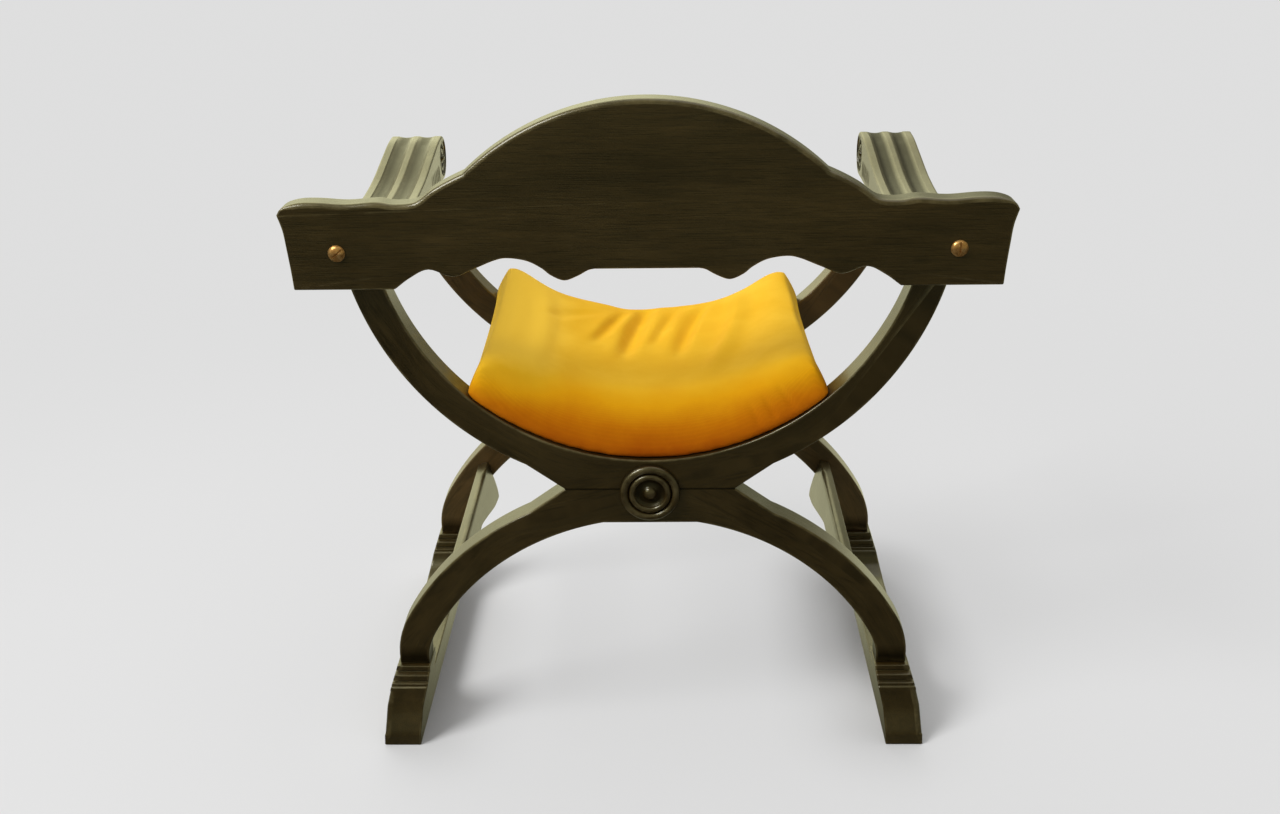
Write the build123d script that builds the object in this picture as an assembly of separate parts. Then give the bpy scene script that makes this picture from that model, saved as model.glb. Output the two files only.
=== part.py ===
from build123d import *
from math import atan2, cos, degrees, radians, sin, sqrt
import os

# X-frame armchair with a loose cushion. Millimetres, +Z up, +Y towards the front of the seat.
# Origin: on the floor, at the middle of the chair's width and depth.

# ---- driving sizes ----------------------------------------------------------------------------
# the two X frames, each an upper arc glued back to back on a lower arc
frame_thickness = 32.0        # front to back
frame_gap = 306.0             # clear space between the rear and the front frame
arc_outer_radius = 332.5
arc_width = 35.5              # of the upper arcs' and the legs' timber, seen from behind
lower_arc_width = 38.0        # of the lower arcs between the legs
glue_plane_z = 328.0          # height of the joint between the two arcs
notch_half_width = 97.0       # from the centre to the sharp notch where the arcs part
flare_half_width = 140.0      # where the thickened middle runs out into the plain arc
key_drop = 5.0                # flat on the underside of the lower arc, below its inner circle
leg_inset = 29.5              # the leg's straight foot stands this far inside the arc's widest place

# feet
foot_top_z = 96.0
runner_top_z = 45.0
toe_nose_height = 13.0
toe_projection = 30.0         # beyond the face of the leg
foot_top_width = 38.0
runner_width = 44.0
foot_splay = 20.0             # how far the foot's outer side leans out below the leg
runner_splay = 4.0            # the same, below the top of the runner
nose_projection = 6.0         # top moulding, beyond the leg
ledge_projection = 12.0       # second moulding
ogee_projection = 16.0        # where the hollow of the toe begins
moulding_step = 7.0           # height of one moulding
groove_depth = 1.5
groove_height = 2.0
leg_tenon_width = 22.0
leg_tenon_thickness = 20.0
leg_tenon_length = 28.0

# arms
arm_rise = 268.0              # its underside above the glue plane
arm_width = 66.0
arm_inward_shift = 2.0        # its middle line, inwards of the arc's end
arm_rear_height = 38.0
arm_waist_height = 26.0
arm_scroll_radius = 28.0
arm_overhang = 48.0           # of the scroll in front of the front frame
flute_width = 20.0
flute_depth = 4.0
flute_offset = 13.5           # from the arm's middle line
flute_stop = 27.0             # the flutes stop this far in front of the board
flute_end_height = 16.0       # and this far above the underside, round the scroll

# back board; its heights are measured from the arm's underside
board_thickness = 27.0
crest_rise = 177.0
crest_radius = 274.5
crest_half_width = 188.0
ear_rise = 73.0
ear_drop = 20.0
ear_overhang = 44.0           # beyond the arm's outer side
ear_tip_drop = 12.0           # of the ear's outer corner below its top
ear_taper = 10.0              # its lower corner, inwards of its tip
ear_inner_step = 7.0          # its lower edge ends this far inwards of the arm
middle_rise = 0.8             # of the straight middle of the lower edge
straight_half_width = 55.0
# the lower edge: share of the way from the straight middle to the ear, rise above the arm's underside
lower_edge = [(0.919, -7.5), (0.825, 1.3), (0.706, -6.5), (0.597, 1.8), (0.498, 10.4), (0.431, 13.0),
              (0.336, 9.8), (0.265, 2.0), (0.218, -6.0), (0.152, -11.7), (0.085, -7.0), (0.033, -0.9)]
# shoulder and ear: share of the way from the crest's end to the ear's tip, rise above the ear's top
shoulder = [(0.046, 25.5), (0.108, 19.5), (0.174, 12.0), (0.231, 3.5)]
ear_waves = [(0.282, -1.0), (0.379, -2.0), (0.472, 0.5), (0.631, -1.5), (0.779, 0.5), (0.872, 0.5),
             (0.938, -2.0), (0.979, -6.0)]

# brass screws that hold the board to the arms
screw_outward = 18.0          # from the arm's middle line
screw_rise = 20.0             # above the arm's underside
screw_radius = 2.5
screw_grip = 45.0             # length in the arm
screw_head_radius = 9.0
screw_head_height = 4.5

# rosettes and the rail between the crossings
rosette_radius = 34.0
rosette_height = 9.0
rosette_bead_radius = 4.2     # of the two rounded rings
rosette_inner_ring = 21.0
rosette_button_radius = 7.5
rosette_drop = 3.0            # its centre below the glue plane
spigot_radius = 8.0
spigot_length = 12.0
rail_width = 30.0
rail_height = 42.0
rail_chamfer = 3.0
rail_tenon_radius = 11.0
rail_tenon_length = 16.0

# side stretchers
stretcher_thickness = 14.0
stretcher_inset = 15.5        # its top edge, inside the arc's outer circle
stretcher_drop = 123.0        # its top edge below the glue plane
stretcher_lean = 17.0         # degrees, its lower edge leans inwards
stretcher_end_height = 27.0
stretcher_front_lobe = 51.0   # deepest places of its lower edge
stretcher_rear_lobe = 36.0
stretcher_lobe_inset = 15.0   # of the deepest places, from the ends
stretcher_middle_height = 28.0
stretcher_tenon_length = 15.0
stretcher_tenon_height = 13.0
stretcher_tenon_thickness = 9.0
stretcher_tenon_drop = 3.0    # its top below the stretcher's top edge

# seat slats
slat_count = 7
slat_pitch = 11.0             # degrees along the arc
slat_width = 44.0
slat_thickness = 10.0
slat_housing = 8.0            # depth of the housing in each frame

# dowels
arm_dowel_radius = 5.0
arm_dowel_length = 44.0
crossing_dowel_radius = 4.0
crossing_dowel_length = 30.0
crossing_dowel_x = 62.0

# cushion
cushion_half_angle = 41.6     # degrees of the seat's arc that it covers, each side
cushion_crown = 63.0          # thickness at the middle
cushion_side = 42.0           # thickness at its left and right edges
cushion_lean = 14.0           # the side edge leans in by this much
cover_thickness = 1.5

# clearances
joint_clearance = 0.05        # round tenons, dowels and screws in their holes
housing_clearance = 0.1       # square tenons and slats in their housings
cushion_clearance = 0.3       # cushion above the timber
filling_clearance = 0.2       # filling inside the cover

# ---- places worked out from the sizes ---------------------------------------------------------
arc_inner_radius = arc_outer_radius - arc_width
lower_inner_radius = arc_outer_radius - lower_arc_width
upper_centre_z = glue_plane_z + arc_outer_radius
lower_centre_z = glue_plane_z - arc_outer_radius
leg_outer_x = arc_outer_radius - leg_inset
leg_inner_x = leg_outer_x - arc_width
leg_middle_x = (leg_outer_x + leg_inner_x) / 2
rosette_z = glue_plane_z - rosette_drop
arm_underside_z = glue_plane_z + arm_rise
screw_z = arm_underside_z + screw_rise
crest_centre_z = arm_underside_z + crest_rise - crest_radius
ear_top_z = arm_underside_z + ear_rise
ear_bottom_z = arm_underside_z - ear_drop
frame_pitch = frame_gap + frame_thickness

rear_extent = max(board_thickness + screw_head_height, toe_projection)
front_extent = max(arm_overhang, toe_projection)
overall_depth = rear_extent + frame_pitch + frame_thickness + front_extent
rear_face_y = rear_extent - overall_depth / 2          # rear face of the rear frame
rear_inside_y = rear_face_y + frame_thickness
front_inside_y = rear_inside_y + frame_gap
front_face_y = front_inside_y + frame_thickness
middle_y = (rear_face_y + front_face_y) / 2
arm_front_y = front_face_y + arm_overhang
frame_starts = {"rear": rear_face_y, "front": front_inside_y}
sides = {"left": -1, "right": 1}

upper_middle_radius = (arc_outer_radius + arc_inner_radius) / 2
arc_end_x = sqrt(upper_middle_radius**2 - (upper_centre_z - arm_underside_z) ** 2)
arm_middle_x = arc_end_x - arm_inward_shift
arm_inner_x = arm_middle_x - arm_width / 2
arm_outer_x = arm_middle_x + arm_width / 2
screw_x = arm_middle_x + screw_outward
ear_half_width = arm_outer_x + ear_overhang
ear_foot_half_width = ear_half_width - ear_taper
ear_inner_half_width = arm_inner_x - ear_inner_step
stretcher_top_z = glue_plane_z - stretcher_drop
stretcher_top_x = sqrt((arc_outer_radius - stretcher_inset) ** 2 - (stretcher_top_z - lower_centre_z) ** 2)


# ---- helpers ----------------------------------------------------------------------------------
def slab(outline, start_y, thickness):
    """A face drawn in x and z, given a thickness in y from start_y forwards."""
    return Pos(0, start_y, 0) * extrude(Plane.XZ * outline, amount=-thickness)


def strip(outline, start_x, width):
    """A face drawn in y and z, given a width in x from start_x outwards."""
    return Pos(start_x, 0, 0) * extrude(Plane.YZ * outline, amount=width)


def rod_y(x, z, start_y, length, radius):
    """A round bar along y."""
    return slab(Pos(x, z) * Circle(radius), start_y, length)


def rod_z(x, y, start_z, length, radius):
    """A round bar along z."""
    return Pos(x, y, start_z) * extrude(Circle(radius), amount=length)


def box_between(x, y, z):
    """A box between two corners, each of x, y and z a pair of low and high."""
    size = [high - low for low, high in (x, y, z)]
    middle = [(high + low) / 2 for low, high in (x, y, z)]
    return Pos(*middle) * Box(*size)


def face_through(points):
    """A flat face inside a closed run of straight lines."""
    return make_face(Polyline(*points, close=True))


def on_side(solid, side):
    """The solid as drawn on the right, or its mirror image on the left."""
    return solid if side > 0 else mirror(solid, about=Plane.YZ)


# ---- frames -----------------------------------------------------------------------------------
def circle_drop(radius, x):
    """How far below its own centre a circle of this radius lies at x."""
    return sqrt(radius**2 - x**2)


def arc_ring(centre_z, inner_radius):
    return Pos(0, centre_z) * (Circle(arc_outer_radius) - Circle(inner_radius))


def thickened_middle(toward):
    """The pad at the glue plane: toward is 1 for the upper arc and -1 for the lower arc."""
    centre_z = glue_plane_z + toward * arc_outer_radius
    flare_z = centre_z - toward * circle_drop(arc_outer_radius, flare_half_width)
    apex_z = glue_plane_z + toward * arc_width / 2
    return face_through([(-flare_half_width, flare_z), (-notch_half_width, glue_plane_z),
                         (notch_half_width, glue_plane_z), (flare_half_width, flare_z), (0, apex_z)])


def slat_at(index, grow=0.0):
    """One seat slat, tangent to the upper arc's inner circle; grow widens it for its housing."""
    angle = (index - (slat_count - 1) / 2) * slat_pitch
    length = frame_gap + 2 * (slat_housing + grow)
    slat = Pos(0, 0, -arc_inner_radius - slat_thickness / 2) * Box(slat_width + 2 * grow, length,
                                                                  slat_thickness + 2 * grow)
    return Pos(0, middle_y, upper_centre_z) * Rot(0, angle, 0) * slat


def crossing_holes(start_y, inner_start_y):
    """Holes at the crossing: the rosette's spigot outside, the rail's tenon inside."""
    outside_y = start_y if inner_start_y > start_y else start_y + frame_thickness - spigot_length
    holes = rod_y(0, rosette_z, outside_y, spigot_length, spigot_radius + joint_clearance)
    return holes + rod_y(0, rosette_z, inner_start_y, rail_tenon_length,
                         rail_tenon_radius + joint_clearance)


def crossing_dowel_set(start_y, grow=0.0):
    low_z = glue_plane_z - crossing_dowel_length / 2 - grow
    return [rod_z(side * crossing_dowel_x, start_y + frame_thickness / 2, low_z,
                  crossing_dowel_length + 2 * grow, crossing_dowel_radius + grow)
            for side in sides.values()]


def arm_dowel_set(start_y, grow=0.0):
    low_z = arm_underside_z - arm_dowel_length / 2 - grow
    return [rod_z(side * arc_end_x, start_y + frame_thickness / 2, low_z,
                  arm_dowel_length + 2 * grow, arm_dowel_radius + grow)
            for side in sides.values()]


def tenon_start(start_y):
    """Where the rail's tenon begins inside the frame that starts at start_y."""
    return start_y + frame_thickness - rail_tenon_length if start_y < middle_y - frame_gap / 2 else start_y


def upper_arc(start_y):
    below_arm = Pos(0, arm_underside_z - arc_outer_radius) * Rectangle(3 * arc_outer_radius,
                                                                      2 * arc_outer_radius)
    outline = (arc_ring(upper_centre_z, arc_inner_radius) & below_arm) + thickened_middle(1)
    arc = slab(outline, start_y, frame_thickness)
    for index in range(slat_count):
        arc -= slat_at(index, housing_clearance)
    for dowel in arm_dowel_set(start_y, joint_clearance) + crossing_dowel_set(start_y, joint_clearance):
        arc -= dowel
    return arc - crossing_holes(start_y, tenon_start(start_y))


def lower_arc(start_y):
    ring_bottom_z = lower_centre_z + circle_drop(lower_inner_radius, leg_inner_x)
    kept_height = glue_plane_z - foot_top_z
    kept = Pos(0, foot_top_z + kept_height / 2) * Rectangle(2 * leg_outer_x, kept_height)
    key_z = lower_centre_z + lower_inner_radius - key_drop
    above_key = Pos(0, key_z + arc_width / 2) * Rectangle(2 * flare_half_width, arc_width)
    inner_disc = Pos(0, lower_centre_z) * Circle(lower_inner_radius)
    key = inner_disc & above_key
    outline = (arc_ring(lower_centre_z, lower_inner_radius) & kept) + thickened_middle(-1) + key
    for side in sides.values():
        outline += Pos(side * leg_middle_x, (foot_top_z + ring_bottom_z) / 2) * Rectangle(
            arc_width, ring_bottom_z - foot_top_z)
    arc = slab(outline, start_y, frame_thickness)
    for side in sides.values():
        arc += leg_tenon(side, start_y)
        arc -= on_side(stretcher_tenons(housing_clearance), side)
    for dowel in crossing_dowel_set(start_y, joint_clearance):
        arc -= dowel
    return arc - crossing_holes(start_y, tenon_start(start_y))


def leg_tenon(side, start_y, grow=0.0):
    x = side * leg_middle_x
    y = start_y + frame_thickness / 2
    half_width = leg_tenon_width / 2 + grow
    half_thickness = leg_tenon_thickness / 2 + grow
    return box_between((x - half_width, x + half_width), (y - half_thickness, y + half_thickness),
                       (foot_top_z - leg_tenon_length - grow, foot_top_z))


# ---- feet -------------------------------------------------------------------------------------
def foot_block_side(face_y, away):
    """Points of a foot's side profile from the top of the block down its mouldings to the hollow."""
    second_z = foot_top_z - moulding_step
    third_z = second_z - groove_height - moulding_step
    steps = [(nose_projection, foot_top_z), (nose_projection, second_z),
             (nose_projection - groove_depth, second_z),
             (nose_projection - groove_depth, second_z - groove_height),
             (ledge_projection, second_z - groove_height), (ledge_projection, third_z),
             (ledge_projection - groove_depth, third_z),
             (ledge_projection - groove_depth, third_z - groove_height),
             (ogee_projection, third_z - groove_height)]
    return [(face_y + away * out, z) for out, z in steps]


def toe_hollow(face_y, away):
    """The hollow curve of the toe, from the mouldings down to the top of its nose."""
    start = foot_block_side(face_y, away)[-1]
    end = (face_y + away * toe_projection, toe_nose_height)
    middle = (start[0] + 0.38 * (end[0] - start[0]), start[1] + 0.62 * (end[1] - start[1]))
    return start, middle, end


def inner_hollow(face_y, away):
    """The hollow curve from the mouldings down to the top of the runner."""
    start = foot_block_side(face_y, away)[-1]
    reach = start[1] - runner_top_z
    end = (start[0] + away * reach, runner_top_z)
    middle = (start[0] + away * 0.3 * reach, start[1] - 0.7 * reach)
    return start, middle, end


def foot_profile():
    """The foot seen from the side, in y and z: a toe and a block under each leg, a runner between."""
    rear_toe = toe_hollow(rear_face_y, -1)
    rear_inner = inner_hollow(rear_inside_y, 1)
    front_inner = inner_hollow(front_inside_y, -1)
    front_toe = toe_hollow(front_face_y, 1)
    lines = [
        Polyline((front_toe[2][0], front_toe[2][1]), (front_toe[2][0], 0), (rear_toe[2][0], 0), rear_toe[2]),
        ThreePointArc(rear_toe[2], rear_toe[1], rear_toe[0]),
        Polyline(*(foot_block_side(rear_face_y, -1)[::-1] + foot_block_side(rear_inside_y, 1))),
        ThreePointArc(*rear_inner),
        Line(rear_inner[2], front_inner[2]),
        ThreePointArc(front_inner[2], front_inner[1], front_inner[0]),
        Polyline(*(foot_block_side(front_inside_y, -1)[::-1] + foot_block_side(front_face_y, 1))),
        ThreePointArc(*front_toe),
    ]
    return make_face(lines)


def foot_section():
    """The right foot seen from behind, in x and z: it leans outwards towards the floor."""
    top_inner_x = leg_middle_x - foot_top_width / 2
    top_outer_x = leg_middle_x + foot_top_width / 2
    bottom_outer_x = top_outer_x + foot_splay
    runner_outer_x = bottom_outer_x - runner_splay
    belly = ((top_outer_x + runner_outer_x) / 2 + 1.5, (foot_top_z + runner_top_z) / 2)
    return face_through([(top_inner_x, foot_top_z), (top_outer_x, foot_top_z), belly,
                         (runner_outer_x, runner_top_z), (bottom_outer_x, 0),
                         (bottom_outer_x - runner_width, 0),
                         (runner_outer_x - runner_width, runner_top_z)])


def foot():
    block = strip(foot_profile(), leg_middle_x - runner_width, 2 * runner_width)
    section = slab(foot_section(), rear_face_y - rear_extent, overall_depth)
    body = block & section
    for start_y in frame_starts.values():
        body -= leg_tenon(1, start_y, housing_clearance)
    return body


# ---- side stretchers --------------------------------------------------------------------------
def leaning(solid):
    """Carries a piece drawn upright at x = 0, z = 0 to the stretcher's place between the legs."""
    return Pos(stretcher_top_x, 0, stretcher_top_z) * Rot(0, stretcher_lean, 0) * solid


def stretcher_tenons(grow=0.0):
    """Both stub tenons of the right stretcher."""
    half = stretcher_tenon_thickness / 2 + grow
    top = -stretcher_tenon_drop + grow
    bottom = -stretcher_tenon_drop - stretcher_tenon_height - grow
    reach = stretcher_tenon_length + grow
    rear = box_between((-half, half), (rear_inside_y - reach, rear_inside_y), (bottom, top))
    front = box_between((-half, half), (front_inside_y, front_inside_y + reach), (bottom, top))
    return leaning(rear + front)


def stretcher_edge(lobe, away):
    """The lower edge from one end to the middle: a round lobe, then a long hollow rise."""
    half = frame_gap / 2
    lobe_y = half - stretcher_lobe_inset
    fall = lobe - stretcher_middle_height
    end = (away * half, -stretcher_end_height)
    run = [(lobe_y, -lobe), (0.68 * half, -stretcher_middle_height - 0.84 * fall),
           (0.38 * half, -stretcher_middle_height - 0.4 * fall), (0, -stretcher_middle_height)]
    run = [(away * y, z) for y, z in run]
    return [Spline(end, run[0], tangents=[(0, -1), (-away, 0)]),
            Spline(*run, tangents=[(-away, 0), (-away, 0)])]


def side_stretcher():
    """A thin board with a lobe near each end of its lower edge, the deeper one in front."""
    half = frame_gap / 2
    top = Polyline((-half, -stretcher_end_height), (-half, 0), (half, 0), (half, -stretcher_end_height))
    lines = [top] + stretcher_edge(stretcher_front_lobe, 1) + stretcher_edge(stretcher_rear_lobe, -1)
    board = strip(Pos(middle_y, 0) * make_face(lines), -stretcher_thickness / 2, stretcher_thickness)
    return leaning(board) + stretcher_tenons()


# ---- arms -------------------------------------------------------------------------------------
def arm_profile(sunk=0.0):
    """The arm seen from the side, in y and z: a scroll in front, a waist, and a higher rear end.

    sunk draws the same shape inside the first, for the floor of the flutes."""
    scroll_y = arm_front_y - arm_scroll_radius
    scroll_z = arm_underside_z + arm_scroll_radius
    scroll_radius = arm_scroll_radius - sunk
    length = scroll_y - rear_face_y
    low_z = arm_underside_z + sunk
    rear_top = (rear_face_y, arm_underside_z + arm_rear_height - sunk)
    waist = (rear_face_y + 0.42 * length, arm_underside_z + arm_waist_height - sunk)
    shoulder = (rear_face_y + 0.78 * length, arm_underside_z + 1.55 * arm_scroll_radius - sunk)
    scroll_top = (scroll_y, scroll_z + scroll_radius)
    lines = [
        Spline(rear_top, waist, shoulder, scroll_top, tangents=[(1, -0.12), (1, 0)]),
        ThreePointArc(scroll_top, (scroll_y + scroll_radius, scroll_z), (scroll_y, low_z)),
        Polyline((scroll_y, low_z), (rear_face_y, low_z), rear_top),
    ]
    return make_face(lines)


def arm():
    profile = arm_profile()
    body = strip(profile, arm_inner_x, arm_width)
    above = make_face(Polyline((rear_face_y + flute_stop, arm_underside_z + flute_end_height),
                               (arm_front_y + 1, arm_underside_z + flute_end_height),
                               (arm_front_y + 1, glue_plane_z + arc_outer_radius),
                               (rear_face_y + flute_stop, glue_plane_z + arc_outer_radius), close=True))
    band = (profile - arm_profile(flute_depth)) & above
    for middle in (-flute_offset, flute_offset):
        body -= strip(band, arm_middle_x + middle - flute_width / 2, flute_width)
    for start_y in frame_starts.values():
        for dowel in arm_dowel_set(start_y, joint_clearance):
            body -= dowel
    return body - rod_y(screw_x, screw_z, rear_face_y, screw_grip + joint_clearance,
                        screw_radius + joint_clearance)


# ---- back board -------------------------------------------------------------------------------
def board_outline():
    """The back board in x and z, drawn on the right from the middle of the crest and mirrored."""
    crest_end_rise = circle_drop(crest_radius, crest_half_width)
    crest_end = (crest_half_width, crest_centre_z + crest_end_rise)
    crest_middle = (crest_half_width / 2,
                    crest_centre_z + circle_drop(crest_radius, crest_half_width / 2))
    ear_length = ear_half_width - crest_half_width
    ear_top = [(crest_half_width + share * ear_length, ear_top_z + rise)
               for share, rise in shoulder + ear_waves]
    ear_tip = (ear_half_width, ear_top_z - ear_tip_drop)
    ear_foot = (ear_foot_half_width, ear_bottom_z)
    ear_side = [(ear_foot_half_width + share * (ear_half_width - ear_foot_half_width),
                 ear_bottom_z + height * (ear_tip[1] - ear_bottom_z))
                for share, height in ((0.55, 0.8), (0.35, 0.55), (0.12, 0.25))]
    wave_length = ear_inner_half_width - straight_half_width
    under = [(straight_half_width + share * wave_length, arm_underside_z + rise)
             for share, rise in lower_edge]
    straight_end = (straight_half_width, arm_underside_z + middle_rise)
    half = [
        ThreePointArc((0, crest_centre_z + crest_radius), crest_middle, crest_end),
        Spline(crest_end, *ear_top, ear_tip, tangents=[(1, -0.8), (0.5, -1)]),
        Spline(ear_tip, *ear_side, ear_foot, tangents=[(-0.35, -1), (0, -1)]),
        Line(ear_foot, (ear_inner_half_width, ear_bottom_z)),
        Spline((ear_inner_half_width, ear_bottom_z), *under, straight_end,
               tangents=[(-0.8, 0.6), (-1, 0)]),
        Line(straight_end, (0, straight_end[1])),
    ]
    return make_face(half + [mirror(edge, about=Plane.YZ) for edge in half])


def back_board():
    board = slab(board_outline(), rear_face_y - board_thickness, board_thickness)
    for side in sides.values():
        board -= rod_y(side * screw_x, screw_z, rear_face_y - board_thickness, board_thickness,
                       screw_radius + joint_clearance)
    return board


def back_board_screw(side):
    """A domed brass screw, its head on the rear face of the board."""
    head_y = rear_face_y - board_thickness
    sphere_radius = (screw_head_radius**2 + screw_head_height**2) / (2 * screw_head_height)
    ball = Pos(side * screw_x, head_y - screw_head_height + sphere_radius, screw_z) * Sphere(sphere_radius)
    dome = ball & rod_y(side * screw_x, screw_z, head_y - screw_head_height, screw_head_height,
                        2 * screw_head_radius)
    return dome + rod_y(side * screw_x, screw_z, head_y, board_thickness + screw_grip, screw_radius)


# ---- crossings --------------------------------------------------------------------------------
def rosette_body():
    """A turned rosette on the +Z axis: a button inside two rounded rings, and a spigot behind."""
    bead = rosette_bead_radius
    bead_z = rosette_height - bead
    body = extrude(Circle(rosette_radius), amount=bead_z)
    trough = Circle(rosette_radius - 2 * bead) - Circle(rosette_inner_ring + 0.6 * bead)
    body -= Pos(0, 0, bead_z - 0.5 * bead) * extrude(trough, amount=bead)
    for radius in (rosette_radius - bead, rosette_inner_ring):
        body += Pos(0, 0, bead_z) * Torus(radius, bead)
    button_z = rosette_height - rosette_button_radius
    body += Pos(0, 0, button_z) * (Sphere(rosette_button_radius) & Pos(0, 0, rosette_button_radius)
                                   * Box(rosette_radius, rosette_radius, 2 * rosette_button_radius))
    return body + extrude(Circle(spigot_radius), amount=-spigot_length)


def rosette(name):
    turned = Rot(90, 0, 0) * rosette_body() if name == "rear" else Rot(-90, 0, 0) * rosette_body()
    return Pos(0, rear_face_y if name == "rear" else front_face_y, rosette_z) * turned


def centre_stretcher():
    rail = Pos(0, middle_y, rosette_z) * Box(rail_width, frame_gap, rail_height)
    rail = chamfer(rail.edges().filter_by(Axis.Y), rail_chamfer)
    tenons = rod_y(0, rosette_z, rear_inside_y - rail_tenon_length, frame_gap + 2 * rail_tenon_length,
                   rail_tenon_radius)
    return rail + tenons


# ---- cushion ----------------------------------------------------------------------------------
def cushion_outline():
    """The cushion in x and z: its underside follows the seat's arc, its top is a flatter arc."""
    radius = arc_inner_radius - cushion_clearance
    angle = radians(cushion_half_angle)
    corner = (radius * sin(angle), upper_centre_z - radius * cos(angle))
    top_corner = (corner[0] - cushion_lean, corner[1] + cushion_side)
    bottom_z = upper_centre_z - radius
    lines = [
        ThreePointArc((-corner[0], corner[1]), (0, bottom_z), corner),
        Line(corner, top_corner),
        ThreePointArc(top_corner, (0, bottom_z + cushion_crown), (-top_corner[0], top_corner[1])),
        Line((-top_corner[0], top_corner[1]), (-corner[0], corner[1])),
    ]
    return make_face(lines)


def cushion_block(inset):
    """The cushion's solid, drawn in by inset on every face."""
    outline = offset(cushion_outline(), -inset) if inset else cushion_outline()
    start_y = rear_face_y + cushion_clearance + inset
    return slab(outline, start_y, frame_pitch + frame_thickness - 2 * (cushion_clearance + inset))


# ---- the nodes --------------------------------------------------------------------------------
nodes = {
    "back_board": back_board(),
    "back_board_screws": Compound(children=[back_board_screw(side) for side in sides.values()]),
    "centre_stretcher": centre_stretcher(),
    "seat_cushion_cover": cushion_block(0) - cushion_block(cover_thickness),
    "cushion_filling": cushion_block(cover_thickness + filling_clearance),
    "arm_dowels": Compound(children=[dowel for start_y in frame_starts.values()
                                     for dowel in arm_dowel_set(start_y)]),
    "crossing_dowels": Compound(children=[dowel for start_y in frame_starts.values()
                                          for dowel in crossing_dowel_set(start_y)]),
}
for name, start_y in frame_starts.items():
    nodes[name + "_upper_arc"] = upper_arc(start_y)
    nodes[name + "_lower_arc"] = lower_arc(start_y)
    nodes[name + "_rosette"] = rosette(name)
for name, side in sides.items():
    nodes[name + "_arm"] = on_side(arm(), side)
    nodes[name + "_foot"] = on_side(foot(), side)
    nodes[name + "_side_stretcher"] = on_side(side_stretcher(), side)
for index in range(slat_count):
    nodes["seat_slat_%d" % (index + 1)] = slat_at(index)

os.makedirs("parts", exist_ok=True)
for name, solid in nodes.items():
    export_step(solid, "parts/%s.step" % name)
    print(name, round(solid.volume))
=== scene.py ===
# %% [markdown]
# # An X-frame armchair with a loose cushion
# Two curved frames stand one behind the other. Each is a U-shaped upper arc glued back to back on an
# upturned lower arc. Slats between the upper arcs carry the seat, two arms and a shaped board close the
# top, and two moulded feet take the legs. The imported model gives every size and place, and this file
# builds the surfaces that the eye sees: sawn and waxed timber, brass and a stuffed cushion.

import itertools
import math

import bmesh
import bpy
import numpy as np
from mathutils import Matrix, Vector


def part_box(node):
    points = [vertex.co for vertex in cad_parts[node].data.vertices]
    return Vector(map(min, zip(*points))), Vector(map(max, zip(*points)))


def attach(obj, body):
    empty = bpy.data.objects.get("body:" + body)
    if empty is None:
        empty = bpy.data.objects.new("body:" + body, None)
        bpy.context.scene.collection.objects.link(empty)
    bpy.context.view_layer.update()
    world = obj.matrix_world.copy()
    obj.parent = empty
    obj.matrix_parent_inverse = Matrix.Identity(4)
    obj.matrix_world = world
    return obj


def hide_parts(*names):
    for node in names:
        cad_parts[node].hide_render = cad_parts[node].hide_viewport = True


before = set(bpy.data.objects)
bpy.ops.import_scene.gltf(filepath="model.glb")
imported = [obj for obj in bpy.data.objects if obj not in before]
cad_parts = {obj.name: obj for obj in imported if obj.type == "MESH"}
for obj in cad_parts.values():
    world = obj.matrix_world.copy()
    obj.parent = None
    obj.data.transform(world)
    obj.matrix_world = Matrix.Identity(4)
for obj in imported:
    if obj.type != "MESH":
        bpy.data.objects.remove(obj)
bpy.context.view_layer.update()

# %% [markdown]
# ## Sizes
# The sizes could be typed in again, but then the two models could drift apart. Where a node's box tells
# a size, it is read from there. Only what a box can't tell, such as a radius, is written down here.

# %% Sizes from the nodes' boxes
def span(node):
    """A node's lowest and highest corner as arrays."""
    low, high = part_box(node)
    return np.array(low), np.array(high)


upper_low, upper_high = span("rear_upper_arc")
lower_low, lower_high = span("rear_lower_arc")
arm_low, arm_high = span("right_arm")
board_low, board_high = span("back_board")
foot_low, foot_high = span("right_foot")

glue_z = upper_low[2]
arm_z = upper_high[2]
timber = upper_high[1] - upper_low[1]
rear_y = upper_low[1]
rear_inside_y = upper_high[1]
front_inside_y = span("front_upper_arc")[0][1]
front_y = front_inside_y + timber
middle_y = (rear_y + front_y) / 2

outer_radius = 0.3325
arc_width = 0.0355
lower_arc_width = 0.038
inner_radius = outer_radius - arc_width
lower_inner_radius = outer_radius - lower_arc_width
upper_centre = np.array([0.0, glue_z + outer_radius])
lower_centre = np.array([0.0, glue_z - outer_radius])
print("glue plane at", round(glue_z, 4), "arms from", round(arm_z, 4), "frames at", rear_y, front_y)

# %% [markdown]
# ## Camera
# The chair is seen from behind and a little above, from about one and a half metres. A camera's place
# could be guessed by eye. Here three directions, right, up and forward, are written out, so that the
# small turn and tilt of a hand-held camera stay exact.

# %% Camera
camera_place = Vector((0.022448, -1.626388, 1.025913))
camera_right = Vector((0.9997641, 0.01684821, -0.01370734))
camera_up = Vector((0.0061749, 0.38457647, 0.92307248))
camera_forward = Vector((-0.02082365, 0.92293937, -0.38438171))
turned = Matrix((camera_right, camera_up, -camera_forward)).transposed().to_4x4()

camera_data = bpy.data.cameras.new("camera")
camera_data.sensor_width = 36.0
camera_data.lens = 39.375
camera = bpy.data.objects.new("camera", camera_data)
camera.matrix_world = Matrix.Translation(camera_place) @ turned
bpy.context.scene.collection.objects.link(camera)
bpy.context.scene.camera = camera
print("camera", round(camera_place.length, 2), "m from the middle of the floor")

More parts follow.
